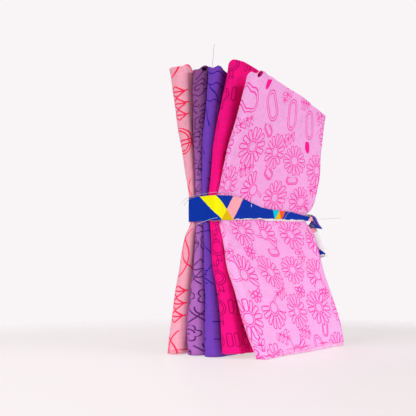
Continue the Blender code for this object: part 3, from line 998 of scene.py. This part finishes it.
def thicken(thing, thickness):
    """Gives a sheet its thickness, inwards from its printed side, with the wrong side inside."""
    solid = thing.modifiers.new("cloth", "SOLIDIFY")
    solid.thickness = thickness
    solid.offset = -1.0
    solid.use_even_offset = False
    solid.material_offset = 1
    solid.material_offset_rim = 1


# ---- the strip
def strip_edges_at(x):
    places, bottoms, tops = zip(*STRIP_EDGES)
    return np.interp(x, places, bottoms), np.interp(x, places, tops)


def strip_route():
    """The strip's middle line from one tip to the other: places, the way its print faces, the way up, and width."""
    spine_x, spine_y = -STRIP_HALF_WIDTH + SPINE_CORNER, STRIP_HALF_DEPTH - SPINE_CORNER
    far_x, far_y = STRIP_HALF_WIDTH - FAR_CORNER, STRIP_HALF_DEPTH - FAR_CORNER

    def corner(x, y, radius, start, end):
        turns = np.radians(np.linspace(start, end, 7))
        return [(x + radius * math.cos(t), y + radius * math.sin(t), math.cos(t), math.sin(t)) for t in turns]

    def straight(start, end, count, nx, ny):
        shares = np.linspace(0, 1, count + 2)[1:-1]
        return [(start[0] + (end[0] - start[0]) * s, start[1] + (end[1] - start[1]) * s, nx, ny) for s in shares]

    plan = (
        straight((far_x, -STRIP_HALF_DEPTH), (spine_x, -STRIP_HALF_DEPTH), 46, 0, -1)
        + corner(spine_x, -spine_y, SPINE_CORNER, -90, -180)
        + straight((-STRIP_HALF_WIDTH, -spine_y), (-STRIP_HALF_WIDTH, spine_y), 6, -1, 0)
        + corner(spine_x, spine_y, SPINE_CORNER, 180, 90)
        + straight((spine_x, STRIP_HALF_DEPTH), (far_x, STRIP_HALF_DEPTH), 40, 0, 1)
        + corner(far_x, far_y, FAR_CORNER, 90, 0)
        + straight((STRIP_HALF_WIDTH, far_y), (STRIP_HALF_WIDTH, -5.0), 6, 1, 0)
    )
    places, facing, across, widths = [], [], [], []
    for x, y, nx, ny in plan:
        bottom, top = strip_edges_at(x)
        places.append((x + nx * 0.55, y + ny * 0.55, (bottom + top) / 2))
        facing.append((nx, ny, 0))
        across.append((0, 0, 1))
        widths.append(top - bottom)
    front = list(reversed(FRONT_END))
    rows = (
        [(p.place, p.facing, p.across, p.width) for p in front]
        + list(zip(places, facing, across, widths))
        + [(p.place, p.facing, p.across, p.width) for p in BACK_END]
    )
    way = np.array([row[0] for row in rows], float)
    lengths = np.concatenate([[0], np.cumsum(np.linalg.norm(np.diff(way, axis=0), axis=1))])
    at = np.arange(0, lengths[-1], 1.6)
    at = np.append(at, lengths[-1])

    def sampled(values, window=1.8):
        table = np.array(values, float)
        table = table if table.ndim > 1 else table[:, None]
        found = []
        for column in table.T:
            around = [np.interp(np.clip(at + d, 0, lengths[-1]), lengths, column) for d in (-window, 0, window)]
            found.append(np.mean(around, axis=0))
        return np.stack(found, axis=1)

    return (
        at, sampled([r[0] for r in rows], 1.2), sampled([r[1] for r in rows]),
        sampled([r[2] for r in rows]), sampled([r[3] for r in rows])[:, 0],
    )


def folded_across(width, flat, show, lip):
    """The strip's profile: how far up and how far out each column lies, folded behind itself at the top. Its lowest
    part, the lip, is turned up in front."""
    along = np.linspace(0, flat, STRIP_COLUMNS)
    up, out = np.zeros(STRIP_COLUMNS), np.zeros(STRIP_COLUMNS)
    for i, d in enumerate(along - lip):
        if d < 0:
            up[i], out[i] = -d, 0.5 * min(-d, 0.8)
            continue
        limits = [width, width + show, width + show - 0.6, width + show - 0.6, width + show - 0.6]
        layer, left = 0, d
        while layer < 4 and left > limits[layer]:
            left -= limits[layer]
            layer += 1
        low = 0.0 if layer == 0 else -show
        up[i] = low + (left if layer % 2 == 0 else limits[layer] - left)
        out[i] = -0.36 * (layer + 0.5 * math.sin(math.pi * min(left / max(limits[layer], 1e-6), 1)) * (layer == 0) * -1)
    kernel = np.array([0.2, 0.6, 0.2])
    for values in (up, out):
        padded = np.concatenate([[2 * values[0] - values[1]], values, [2 * values[-1] - values[-2]]])
        values[:] = np.convolve(padded, kernel, "valid")
    return up - width / 2, out


def strip_points():
    at, places, facing, across, widths = strip_route()
    count = len(at)
    tails_from = at[-1]
    points = np.zeros((count, STRIP_COLUMNS, 3))
    flat = np.zeros((count, STRIP_COLUMNS, 2))
    for i in range(count):
        a = across[i] / np.linalg.norm(across[i])
        n = facing[i] - a * facing[i].dot(a)
        n = n / np.linalg.norm(n)
        from_tip = min(at[i], at[-1] - at[i])
        in_band = smooth_step(np.array(from_tip), 46, 60)
        show = 0.9 * in_band
        lip = 1.0 * in_band * float(smooth_step(places[i][0], -52, -40)) * (facing[i][1] < -0.5)
        up, out = folded_across(widths[i], STRIP_FLAT, show, lip * (1 + 0.25 * math.sin(at[i] * 0.37)))
        layers = STRIP_FLAT / max(widths[i], 1)
        lift = 0.36 * max(0.0, layers - 2.6)
        ruffle = 0.12 * math.sin(at[i] * 0.9) * np.sin(np.linspace(0, 9, STRIP_COLUMNS))
        edge = 0.18 * math.sin(at[i] * 1.7) + 0.15 * math.sin(at[i] * 0.61 + 1.0)
        up = up + edge * np.linspace(1, 0.2, STRIP_COLUMNS) * 0.8
        points[i] = places[i] + np.outer(up, a) + np.outer(out + lift + ruffle, n)
        flat[i, :, 0] = at[i] * STRIP_LONG / tails_from
        flat[i, :, 1] = np.linspace(0, STRIP_FLAT, STRIP_COLUMNS)
    return points, flat


def strip_paint(colours):
    """Paint for the strip: slanting bars of several colours that cross on a blue ground, and painted shade in the short
    end's fold.
    """

    def paint(tree, flat, broad, slub):
        at = wandering(tree, flat, (0.0, 0.0), 0.25, 30.0)
        base = shaded(tree, colours["ground"], broad, slub, 0.08)
        bars = (
            ("yellow", -1.3, 170.0, 109.8, 18.0),
            ("pink", 0.95, 150.0, 121.8, 17.0),
            ("cyan", -0.35, 190.0, 16.0, 12.0),
            ("orange", 1.15, 165.0, 30.5, 12.0),
            ("violet", 0.4, 460.0, 210.0, 30.0),
        )
        masks = {}
        for name, slope, repeat, start, width in bars:
            across = (at.x + at.y * slope - start) / repeat
            masks[name] = inside(abs((fraction(across) - 0.5) * repeat) - width / 2)
            base = tree.mix(masks[name], base, (*colours[name], 1.0))
        both = maximum(masks["yellow"] * masks["pink"], masks["cyan"] * masks["orange"])
        base = tree.mix(both, base, (*colours["mustard"], 1.0))
        # painted shade: a dark slot near the short end, standing in for the shade inside the end's folded tube
        slot = inside(abs(at.x - (STRIP_LONG - 8.5)) - 4.5) * inside(abs(at.y - 3.4) - 0.9)
        return tree.mix(slot * 0.85, base, (0.03, 0.01, 0.05, 1.0))

    return paint


def strip_reverse(colours):
    """Paint for the strip's reverse: white cotton with the print faintly through it, and painted shade in navy under
    the knot.
    """

    def paint(tree, flat, broad, slub):
        at = wandering(tree, flat, (0.0, 0.0), 0.25, 30.0)
        base = shaded(tree, (0.93, 0.92, 0.94), broad, slub, 0.03)
        patch = inside(abs((fraction((at.x + at.y * 0.62 - 9.0) / 61.0) - 0.5) * 61.0) - 3.2)
        base = tree.mix(patch * 0.35, base, (0.55, 0.92, 0.75, 1.0))
        patch = inside(abs((fraction((at.x - at.y * 0.55 - 21.0) / 47.0) - 0.5) * 47.0) - 4.6)
        base = tree.mix(patch * 0.35, base, (0.98, 0.68, 0.60, 1.0))
        # painted shade: the reverse is darkened to navy where it hangs in the knot's shade
        knot = inside(abs(at.x - 36.5) - 6.5, 3.0)
        return tree.mix(knot * 0.9, base, (0.02, 0.02, 0.16, 1.0))

    return paint


# ---- threads
def open_group(name, sockets):
    """A new tree of geometry nodes: the group, its nodes, what enters it, and the identifiers of its inputs."""
    group = bpy.data.node_groups.new(name, "GeometryNodeTree")
    face = group.interface
    face.new_socket(name="Geometry", in_out="INPUT", socket_type="NodeSocketGeometry")
    found = {}
    for socket, kind in sockets:
        found[socket] = face.new_socket(name=socket, in_out="INPUT", socket_type="NodeSocket" + kind).identifier
    face.new_socket(name="Geometry", in_out="OUTPUT", socket_type="NodeSocketGeometry")
    tree = Tree(group)
    return group, tree, tree.node("NodeGroupInput").outputs, found


def close_group(tree, geometry, material):
    """Ends a tree with its instances realized and its material set."""
    realized = tree.node("GeometryNodeRealizeInstances", None, [geometry]).outputs[0]
    finished = tree.node("GeometryNodeSetMaterial", None, {"Geometry": realized, "Material": material})
    tree.node("NodeGroupOutput", None, [finished.outputs[0]])


def thread_tree():
    """Geometry nodes that turn a run of points into a thread."""
    group, tree, enter, sockets = open_group("thread_along_path", (("Radius", "Float"), ("Material", "Material")))
    curve = tree.node("GeometryNodeMeshToCurve", None, [enter["Geometry"]]).outputs[0]
    smooth = tree.node("GeometryNodeCurveSplineType", {"spline_type": "CATMULL_ROM"}, [curve]).outputs[0]
    run = tree.node("GeometryNodeResampleCurve", {"mode": "LENGTH"}, {"Curve": smooth, "Length": 0.8 * MM})
    circle = tree.node("GeometryNodeCurvePrimitiveCircle", None, {"Resolution": 6, "Radius": enter["Radius"]})
    ends = {"Curve": run.outputs[0], "Profile Curve": circle.outputs[0], "Fill Caps": True}
    close_group(tree, tree.node("GeometryNodeCurveToMesh", None, ends).outputs[0], enter["Material"])
    return group, sockets


def fray_tree():
    """Geometry nodes that stand a short bent thread on every point, along the point's own aim."""
    group, tree, enter, sockets = open_group(
        "frayed_edge", (("Radius", "Float"), ("Length", "Float"), ("Material", "Material"), ("Seed", "Int"))
    )

    bend = tree.node(
        "GeometryNodeCurveQuadraticBezier", None,
        {"Resolution": 4, "Start": (0, 0, -0.2), "Middle": (0.28, 0, 0.5), "End": (0, 0.12, 1.0)},
    ).outputs[0]
    share = tree.node("ShaderNodeMath", {"operation": "DIVIDE"}, [enter["Radius"], enter["Length"]]).outputs[0]
    circle = tree.node("GeometryNodeCurvePrimitiveCircle", None, {"Resolution": 4, "Radius": share}).outputs[0]
    tube = tree.node("GeometryNodeCurveToMesh", None, {"Curve": bend, "Profile Curve": circle}).outputs[0]
    aim = tree.node("GeometryNodeInputNamedAttribute", {"data_type": "FLOAT_VECTOR"}, {"Name": "aim"})
    aimed = tree.node("FunctionNodeAlignRotationToVector", {"axis": "Z"}, {"Vector": aim.outputs["Attribute"]})
    spin = tree.node(
        "FunctionNodeRandomValue", {"data_type": "FLOAT_VECTOR"},
        {0: (-0.35, -0.35, -3.14), 1: (0.35, 0.35, 3.14), "Seed": enter["Seed"]},
    )
    lean = tree.node("FunctionNodeEulerToRotation", None, [spin.outputs[0]]).outputs[0]
    turned = tree.node("FunctionNodeRotateRotation", {"rotation_space": "LOCAL"}, [aimed.outputs[0], lean])
    size = tree.node("FunctionNodeRandomValue", {"data_type": "FLOAT"}, {2: 0.35, 3: 1.0, "Seed": enter["Seed"]})
    scale = tree.node("ShaderNodeMath", {"operation": "MULTIPLY"}, [size.outputs[1], enter["Length"]]).outputs[0]
    placed = tree.node(
        "GeometryNodeInstanceOnPoints", None,
        {"Points": enter["Geometry"], "Instance": tube, "Rotation": turned.outputs[0], "Scale": scale},
    )
    close_group(tree, placed.outputs[0], enter["Material"])
    return group, sockets


def grown(name, mesh, tree, values):
    """The plain mesh that a tree of geometry nodes grows from a mesh, as a piece."""
    seed_piece = new_piece(name, mesh)
    nodes = seed_piece.modifiers.new("grow", "NODES")
    nodes.node_group = tree
    for identifier, value in values.items():
        nodes[identifier] = value
    bpy.context.view_layer.update()
    evaluated = seed_piece.evaluated_get(bpy.context.evaluated_depsgraph_get())
    result = bpy.data.meshes.new_from_object(evaluated)
    result.name = name
    seed_piece.modifiers.remove(nodes)
    seed_piece.data = result
    return seed_piece


def path_mesh(name, run):
    """A mesh of bare edges along a run of points in millimetres."""
    mesh = bpy.data.meshes.new(name)
    mesh.from_pydata(((np.array(run) - CENTRE) * MM).tolist(), [(i, i + 1) for i in range(len(run) - 1)], [])
    return mesh


def root_mesh(name, places, aims):
    """A mesh of bare points in millimetres, each with the way its thread runs."""
    mesh = bpy.data.meshes.new(name)
    mesh.from_pydata(((places - CENTRE) * MM).tolist(), [], [])
    aim = mesh.attributes.new("aim", "FLOAT_VECTOR", "POINT")
    aim.data.foreach_set("vector", aims.astype(np.float32).ravel())
    return mesh


def thread_material(name, colour):
    material, tree, shader = new_material(name)
    place = tree.node("ShaderNodeTexCoord").outputs["Object"]
    twist = tree.noise_value(place, 900.0, 1.0)
    darker = tuple(c * 0.7 for c in colour)
    tree.fill(shader.inputs["Base Color"], tree.mix(twist, (*colour, 1.0), (*darker, 1.0)))
    tree.fill(shader.inputs["Roughness"], 0.7 + twist * 0.2)
    shader.inputs["Sheen Weight"].default_value = 0.2
    bump = tree.node("ShaderNodeBump", None, {"Strength": 0.4, "Distance": 0.05 * MM, "Height": twist})
    tree.fill(shader.inputs["Normal"], bump.outputs[0])
    return material


# ---- settings
def colour_property(name, description, default):
    return FloatVectorProperty(
        name=name, description=description, subtype="COLOR", size=3, min=0.0, max=1.0, default=linear(default)
    )


class BundleCloth(PropertyGroup):
    thickness: FloatProperty(
        name="Cloth thickness", description="Thickness of one layer of cotton", default=0.00028, unit="LENGTH",
        min=0.0001, max=0.001, precision=5,
    )
    line: FloatProperty(
        name="Line width", description="Width of the printed lines, in millimetres", default=0.95, min=0.2, max=3.0
    )
    thread: FloatProperty(
        name="Thread radius", description="Radius of a loose thread", default=0.00014, unit="LENGTH",
        min=0.00005, max=0.001, precision=5,
    )
    fray: FloatProperty(
        name="Fray length", description="Longest frayed thread at a cut edge", default=0.0024, unit="LENGTH",
        min=0.0, max=0.01, precision=4,
    )
    fray_count: IntProperty(
        name="Frayed threads", description="Frayed threads on each folded cut", default=240, min=0, max=2000
    )


class BundleColours(PropertyGroup):
    peach: colour_property("Peach ground", "Ground of the back cut", (252, 172, 192))
    peach_ink: colour_property("Peach ink", "Lines of the back cut", (255, 32, 88))
    lilac: colour_property("Lilac ground", "Ground of the second cut", (180, 108, 192))
    lilac_dusk: colour_property("Lilac dusk", "Ground of the second cut about its middle fold", (146, 84, 146))
    lilac_ink: colour_property("Lilac ink", "Lines of the second cut", (88, 28, 100))
    violet: colour_property("Violet ground", "Ground of the middle cut", (118, 66, 188))
    violet_ink: colour_property("Violet ink", "Lines of the middle cut", (58, 18, 140))
    hot_pink: colour_property("Hot pink ground", "Ground of the fourth cut", (252, 10, 132))
    hot_pink_ink: colour_property("Hot pink ink", "Lines of the fourth cut", (176, 0, 96))
    light_pink: colour_property("Light pink ground", "Ground of the front cut", (253, 176, 234))
    light_pink_ink: colour_property("Light pink ink", "Lines of the front cut", (250, 52, 172))
    light_pink_solid: colour_property("Light pink solid", "Filled shapes of the front cut", (255, 16, 148))
    strip: colour_property("Strip ground", "Ground of the strip", (0, 52, 168))
    yellow: colour_property("Yellow bars", "Yellow bars of the strip", (247, 240, 0))
    pink: colour_property("Pink bars", "Pink bars of the strip", (255, 170, 180))
    orange: colour_property("Orange bars", "Orange bars of the strip", (255, 90, 40))
    cyan: colour_property("Cyan bars", "Cyan bars of the strip", (0, 200, 222))
    end_violet: colour_property("Violet end", "Violet patch at the strip's short end", (104, 84, 190))
    mustard: colour_property("Mustard", "Where yellow bars cross others", (228, 188, 0))


class BundleStage(PropertyGroup):
    floor: colour_property("Floor", "Colour of the floor", (247, 240, 241))
    light: FloatProperty(
        name="Light", description="Strength of the soft light, as a share", default=1.0, min=0.1, max=3.0
    )


def curl_shade_patch(quarter):
    """The flat place of a cut's open curl and its half sizes, in millimetres: where the curl's shade is painted dark.
    """
    if not quarter.pit:
        return None
    pit = quarter.pit
    return SPINE_MIDDLE_U + pit.along, CUT_V / 2 - pit.below, pit.half_wide * 1.12, pit.half_high * 1.12


def quarter_materials(quarter):
    """The printed side and the wrong side of one cut."""
    colours = bpy.context.scene.bundle_colours
    line = bpy.context.scene.bundle_cloth.line
    hue = quarter.slot.removesuffix("_cotton")
    ground, ink = tuple(getattr(colours, hue)), tuple(getattr(colours, hue + "_ink"))
    solid = tuple(colours.light_pink_solid)
    draw, width, more = {
        "peach": (arc_print, 1.25, {"edge_ink": ink}),
        "lilac": (scallop_print, 1.05, {"dusk": tuple(colours.lilac_dusk)}),
        "violet": (lattice_print, 1.0, {}),
        "hot_pink": (ring_print, 0.92, {}),
        "light_pink": (flower_print, 1.0, {"solid_ink": solid, "edge_ink": solid}),
    }[hue]
    tint = tuple(0.25 + 0.75 * c for c in ground)
    paint = printed(ground, ink, draw, line * width, quarter.print_shift, mouth_shade=curl_shade_patch(quarter), **more)
    face = cotton(quarter.slot, paint, sheen_tint=tint)
    back = cotton(quarter.slot + "_wrong_side", wrong_side(paint, ground), sheen_tint=tint)
    return face, back


class BUNDLE_OT_fat_quarters(Operator):
    """Lays the five printed cuts along their folds"""

    bl_idname = "bundle.fat_quarters"
    bl_label = "Folded fat quarters"

    def execute(self, context):
        for quarter in QUARTERS:
            points, flat = sheet_points(quarter)
            mesh = grid_mesh(quarter.node + "_cloth", points, flat, quarter_materials(quarter))
            piece = new_piece(quarter.node + "_cloth", mesh)
            thicken(piece, context.scene.bundle_cloth.thickness)
            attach(piece, "root")
            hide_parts(quarter.node)
        return {"FINISHED"}


def edge_roots(points, flat, count, seed):
    """Roots and aims of frayed threads, spread along the four cut edges of a sheet."""
    random = np.random.default_rng(seed)
    edges = (
        (points[:, 0], points[:, 1], 1.6), (points[:, -1], points[:, -2], 1.0),
        (points[0], points[1], 0.6), (points[-1], points[-2], 0.3),
    )
    places, aims = [], []
    for edge, behind, share in edges:
        steps = np.linalg.norm(np.diff(edge, axis=0), axis=1)
        way = np.concatenate([[0], np.cumsum(steps)])
        number = int(count * share / 3.5)
        at = random.uniform(0, way[-1], number)
        root = np.stack([np.interp(at, way, edge[:, k]) for k in range(3)], axis=1)
        inner = np.stack([np.interp(at, way, behind[:, k]) for k in range(3)], axis=1)
        out = root - inner
        out /= np.maximum(np.linalg.norm(out, axis=1), 1e-9)[:, None]
        along = np.stack([np.interp(at + 0.5, way, edge[:, k]) for k in range(3)], axis=1) - root
        along /= np.maximum(np.linalg.norm(along, axis=1), 1e-9)[:, None]
        side = random.uniform(-1, 1, (number, 1))
        aim = out * random.uniform(0.1, 0.7, (number, 1)) + along * side * 1.6
        aim = aim + random.uniform(-0.3, 0.3, (number, 3))
        places.append(root)
        aims.append(aim)
    places, aims = np.concatenate(places), np.concatenate(aims)
    low = places[:, 2] < 6
    aims[low, 2] = np.maximum(aims[low, 2], 0.02 - 0.05 * places[low, 2])
    aims /= np.linalg.norm(aims, axis=1)[:, None]
    return places, aims


class BUNDLE_OT_frayed_edges(Operator):
    """Frays the cut edges of every folded cut"""

    bl_idname = "bundle.frayed_edges"
    bl_label = "Frayed edges"

    def execute(self, context):
        cloth = context.scene.bundle_cloth
        colours = context.scene.bundle_colours
        tree, sockets = fray_tree()
        threads = {
            "peach_cotton": colours.peach_ink, "lilac_cotton": colours.lilac, "violet_cotton": colours.violet,
            "hot_pink_cotton": colours.hot_pink, "light_pink_cotton": colours.light_pink,
        }
        for quarter in QUARTERS:
            points, flat = sheet_points(quarter)
            places, aims = edge_roots(points, flat, cloth.fray_count, quarter.seed + 40)
            material = thread_material(quarter.slot + "_thread", tuple(threads[quarter.slot]))
            name = quarter.node.replace("fat_quarter", "fray")
            piece = grown(
                name, root_mesh(name, places, aims), tree,
                {
                    sockets["Radius"]: 0.00009, sockets["Length"]: cloth.fray,
                    sockets["Material"]: material, sockets["Seed"]: quarter.seed,
                },
            )
            keep_above(piece, 0.00005)
            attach(piece, "root")
            neighbours = [q.node + "_cloth" for q in QUARTERS if abs(q.place - quarter.place) == 1]
            bpy.data.objects[quarter.node + "_cloth"]
        return {"FINISHED"}


def keep_above(piece, level):
    """Lifts any point that lies below a level up to it."""
    co = np.zeros(len(piece.data.vertices) * 3, np.float32)
    piece.data.vertices.foreach_get("co", co)
    co[2::3] = np.maximum(co[2::3], level)
    piece.data.vertices.foreach_set("co", co)
    piece.data.update()


class BUNDLE_OT_tie_strip(Operator):
    """Ties the torn strip round the waist, with its knot and both free ends"""

    bl_idname = "bundle.tie_strip"
    bl_label = "Torn strip"

    def execute(self, context):
        colours = context.scene.bundle_colours
        cloth = context.scene.bundle_cloth
        inks = {name: tuple(getattr(colours, name)) for name in ("yellow", "pink", "orange", "cyan", "mustard")}
        inks["ground"] = tuple(colours.strip)
        inks["violet"] = tuple(colours.end_violet)
        face = cotton("blue_cotton", strip_paint(inks), sheen_tint=(0.6, 0.7, 1.0))
        back = cotton("blue_cotton_reverse", strip_reverse(inks))
        points, flat = strip_points()
        piece = new_piece("tie_strip_cloth", grid_mesh("tie_strip_cloth", points, flat, (face, back)))
        thicken(piece, cloth.thickness)
        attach(piece, "root")
        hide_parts("tie_strip")
        tree, sockets = fray_tree()
        random = np.random.default_rng(77)
        places, aims = [], []
        highest = np.argmax(points[:, :, 2], axis=1)
        for column, way in ((np.zeros(len(points), int), -1.0), (highest, 0.6)):
            rows = random.integers(1, len(points) - 1, 120)
            root = points[rows, column[rows]]
            along = points[rows + 1, column[rows]] - root
            along /= np.maximum(np.linalg.norm(along, axis=1), 1e-9)[:, None]
            aim = along * random.choice([-1.0, 1.0], (120, 1)) * 1.4 + random.uniform(-0.25, 0.25, (120, 3))
            aim[:, 2] += way * random.uniform(0.0, 0.4, 120)
            places.append(root)
            aims.append(aim)
        aims = np.concatenate(aims)
        aims /= np.linalg.norm(aims, axis=1)[:, None]
        pale = thread_material("blue_cotton_thread", (0.62, 0.62, 0.72))
        fray = grown(
            "fray_strip", root_mesh("fray_strip", np.concatenate(places), aims), tree,
            {
                sockets["Radius"]: 0.00008, sockets["Length"]: cloth.fray * 1.2,
                sockets["Material"]: pale, sockets["Seed"]: 5,
            },
        )
        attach(fray, "root")
        [q.node + "_cloth" for q in QUARTERS]
        return {"FINISHED"}


class BUNDLE_OT_loose_threads(Operator):
    """Lays the loose threads that stand off the cloth"""

    bl_idname = "bundle.loose_threads"
    bl_label = "Loose threads"

    def execute(self, context):
        cloth = context.scene.bundle_cloth
        tree, sockets = thread_tree()
        tints = {
            "thread_violet": ((0.42, 0.30, 0.72), "violet_cotton"),
            "thread_edge": ((0.50, 0.50, 0.62), "blue_cotton"),
            "thread_end": ((0.40, 0.45, 0.66), "blue_cotton"),
            "thread_low": ((0.80, 0.80, 0.86), "blue_cotton"),
            "thread_fold": ((0.50, 0.62, 0.86), "blue_cotton"),
            "thread_knot": ((0.72, 0.68, 0.84), "blue_cotton"),
        }
        for name, run in LOOSE_THREADS:
            colour, slot = tints[name]
            piece = grown(
                name, path_mesh(name, run), tree,
                {sockets["Radius"]: cloth.thread, sockets["Material"]: thread_material(name + "_cotton", colour)},
            )
            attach(piece, "root")
        return {"FINISHED"}


class BUNDLE_OT_stage(Operator):
    """Sets the floor, the soft light and the camera"""

    bl_idname = "bundle.stage"
    bl_label = "Floor, light and camera"

    def execute(self, context):
        scene = context.scene
        settings = scene.bundle_stage
        scene.view_settings.view_transform = "Standard"
        self.floor(tuple(settings.floor))
        self.lights(settings.light)
        self.camera(scene)
        return {"FINISHED"}

    def floor(self, colour):
        """A round table top that fades out at its rim."""
        turns = np.linspace(0, 2 * math.pi, 97)[:-1]
        corners = [(FLOOR_RADIUS * math.cos(t), FLOOR_RADIUS * math.sin(t), -0.2 * MM) for t in turns]
        mesh = bpy.data.meshes.new("floor")
        mesh.from_pydata(corners, [], [tuple(range(len(corners)))])
        floor = new_piece("floor", mesh)
        material, tree, shader = new_material("pale_table")
        place = tree.node("ShaderNodeTexCoord").outputs["Object"]
        lit = tuple(c * FLOOR_SHARE for c in colour)
        darker = tuple(c * 0.98 for c in lit)
        cloudy = tree.mix(tree.noise_value(place, 3.0, 2.0), (*lit, 1.0), (*darker, 1.0))
        tree.fill(shader.inputs["Base Color"], cloudy)
        shader.inputs["Roughness"].default_value = 0.6
        shader.inputs["Specular IOR Level"].default_value = 0.2
        shader.inputs["Emission Color"].default_value = (*colour, 1.0)
        shader.inputs["Emission Strength"].default_value = FLOOR_GLOW
        split = tree.node("ShaderNodeSeparateXYZ", None, [place])
        rim = length(Value(tree, split.outputs[0]), Value(tree, split.outputs[1]))
        shown = ((FLOOR_FADE[1] - rim) / (FLOOR_FADE[1] - FLOOR_FADE[0])).within(0.0, 1.0)
        clear = tree.node("ShaderNodeBsdfTransparent")
        mixed = tree.node("ShaderNodeMixShader", None, [shown, clear.outputs[0], shader.outputs[0]])
        tree.fill(material.node_tree.nodes["Material Output"].inputs["Surface"], mixed.outputs[0])
        mesh.materials.append(material)

    def lights(self, share):
        world = bpy.data.worlds.new("studio")
        bpy.context.scene.world = world
        world.use_nodes = True
        tree = Tree(world.node_tree)
        backdrop = world.node_tree.nodes["Background"]
        backdrop.inputs["Color"].default_value = (*linear(BACKDROP), 1.0)
        seen = tree.node("ShaderNodeLightPath").outputs["Is Camera Ray"]
        fill = WORLD_FILL * share
        tree.fill(backdrop.inputs["Strength"], Value(tree, seen) * (1.0 - fill) + fill)
        for name, place, size, watts in LAMPS:
            light = bpy.data.lights.new(name, "AREA")
            light.size = size
            light.energy = watts * share
            lamp = bpy.data.objects.new(name, light)
            lamp.location = place
            lamp.rotation_euler = (Vector(LAMP_AIM) - Vector(place)).to_track_quat("-Z", "Y").to_euler()
            bpy.context.scene.collection.objects.link(lamp)

    def camera(self, scene):
        yaw, pitch = math.radians(CAMERA_YAW), math.radians(CAMERA_PITCH)
        data = bpy.data.cameras.new("camera")
        data.sensor_width = 36.0
        data.lens = CAMERA_LENS
        data.clip_start = 0.01
        data.clip_end = 20.0
        camera = bpy.data.objects.new("camera", data)
        camera.location = CAMERA_PLACE
        ahead = Vector((math.sin(yaw) * math.cos(pitch), math.cos(yaw) * math.cos(pitch), math.sin(pitch)))
        camera.rotation_euler = ahead.to_track_quat("-Z", "Y").to_euler()
        scene.collection.objects.link(camera)
        scene.camera = camera


class BUNDLE_PT_panel(Panel):
    bl_idname = "BUNDLE_PT_panel"
    bl_label = "Fat Quarter Bundle"
    bl_space_type = "VIEW_3D"
    bl_region_type = "UI"
    bl_category = "Bundle"

    def draw(self, context):
        column = self.layout.column()
        for operator in OPERATORS:
            column.operator(operator.bl_idname)
        for group in (context.scene.bundle_cloth, context.scene.bundle_colours, context.scene.bundle_stage):
            box = self.layout.box()
            for name in group.bl_rna.properties.keys():
                if name not in {"rna_type", "name"}:
                    box.prop(group, name)


OPERATORS = (
    BUNDLE_OT_fat_quarters, BUNDLE_OT_frayed_edges, BUNDLE_OT_tie_strip, BUNDLE_OT_loose_threads, BUNDLE_OT_stage,
)
GROUPS = (BundleCloth, BundleColours, BundleStage)
CLASSES = (*GROUPS, *OPERATORS, BUNDLE_PT_panel)


def register():
    for entry in CLASSES:
        bpy.utils.register_class(entry)
    bpy.types.Scene.bundle_cloth = PointerProperty(type=BundleCloth)
    bpy.types.Scene.bundle_colours = PointerProperty(type=BundleColours)
    bpy.types.Scene.bundle_stage = PointerProperty(type=BundleStage)


def unregister():
    del bpy.types.Scene.bundle_stage
    del bpy.types.Scene.bundle_colours
    del bpy.types.Scene.bundle_cloth
    for entry in reversed(CLASSES):
        bpy.utils.unregister_class(entry)


def main():
    register()
    bpy.ops.bundle.fat_quarters()
    bpy.ops.bundle.frayed_edges()
    bpy.ops.bundle.tie_strip()
    bpy.ops.bundle.loose_threads()
    bpy.ops.bundle.stage()


if __name__ == "__main__":
    main()
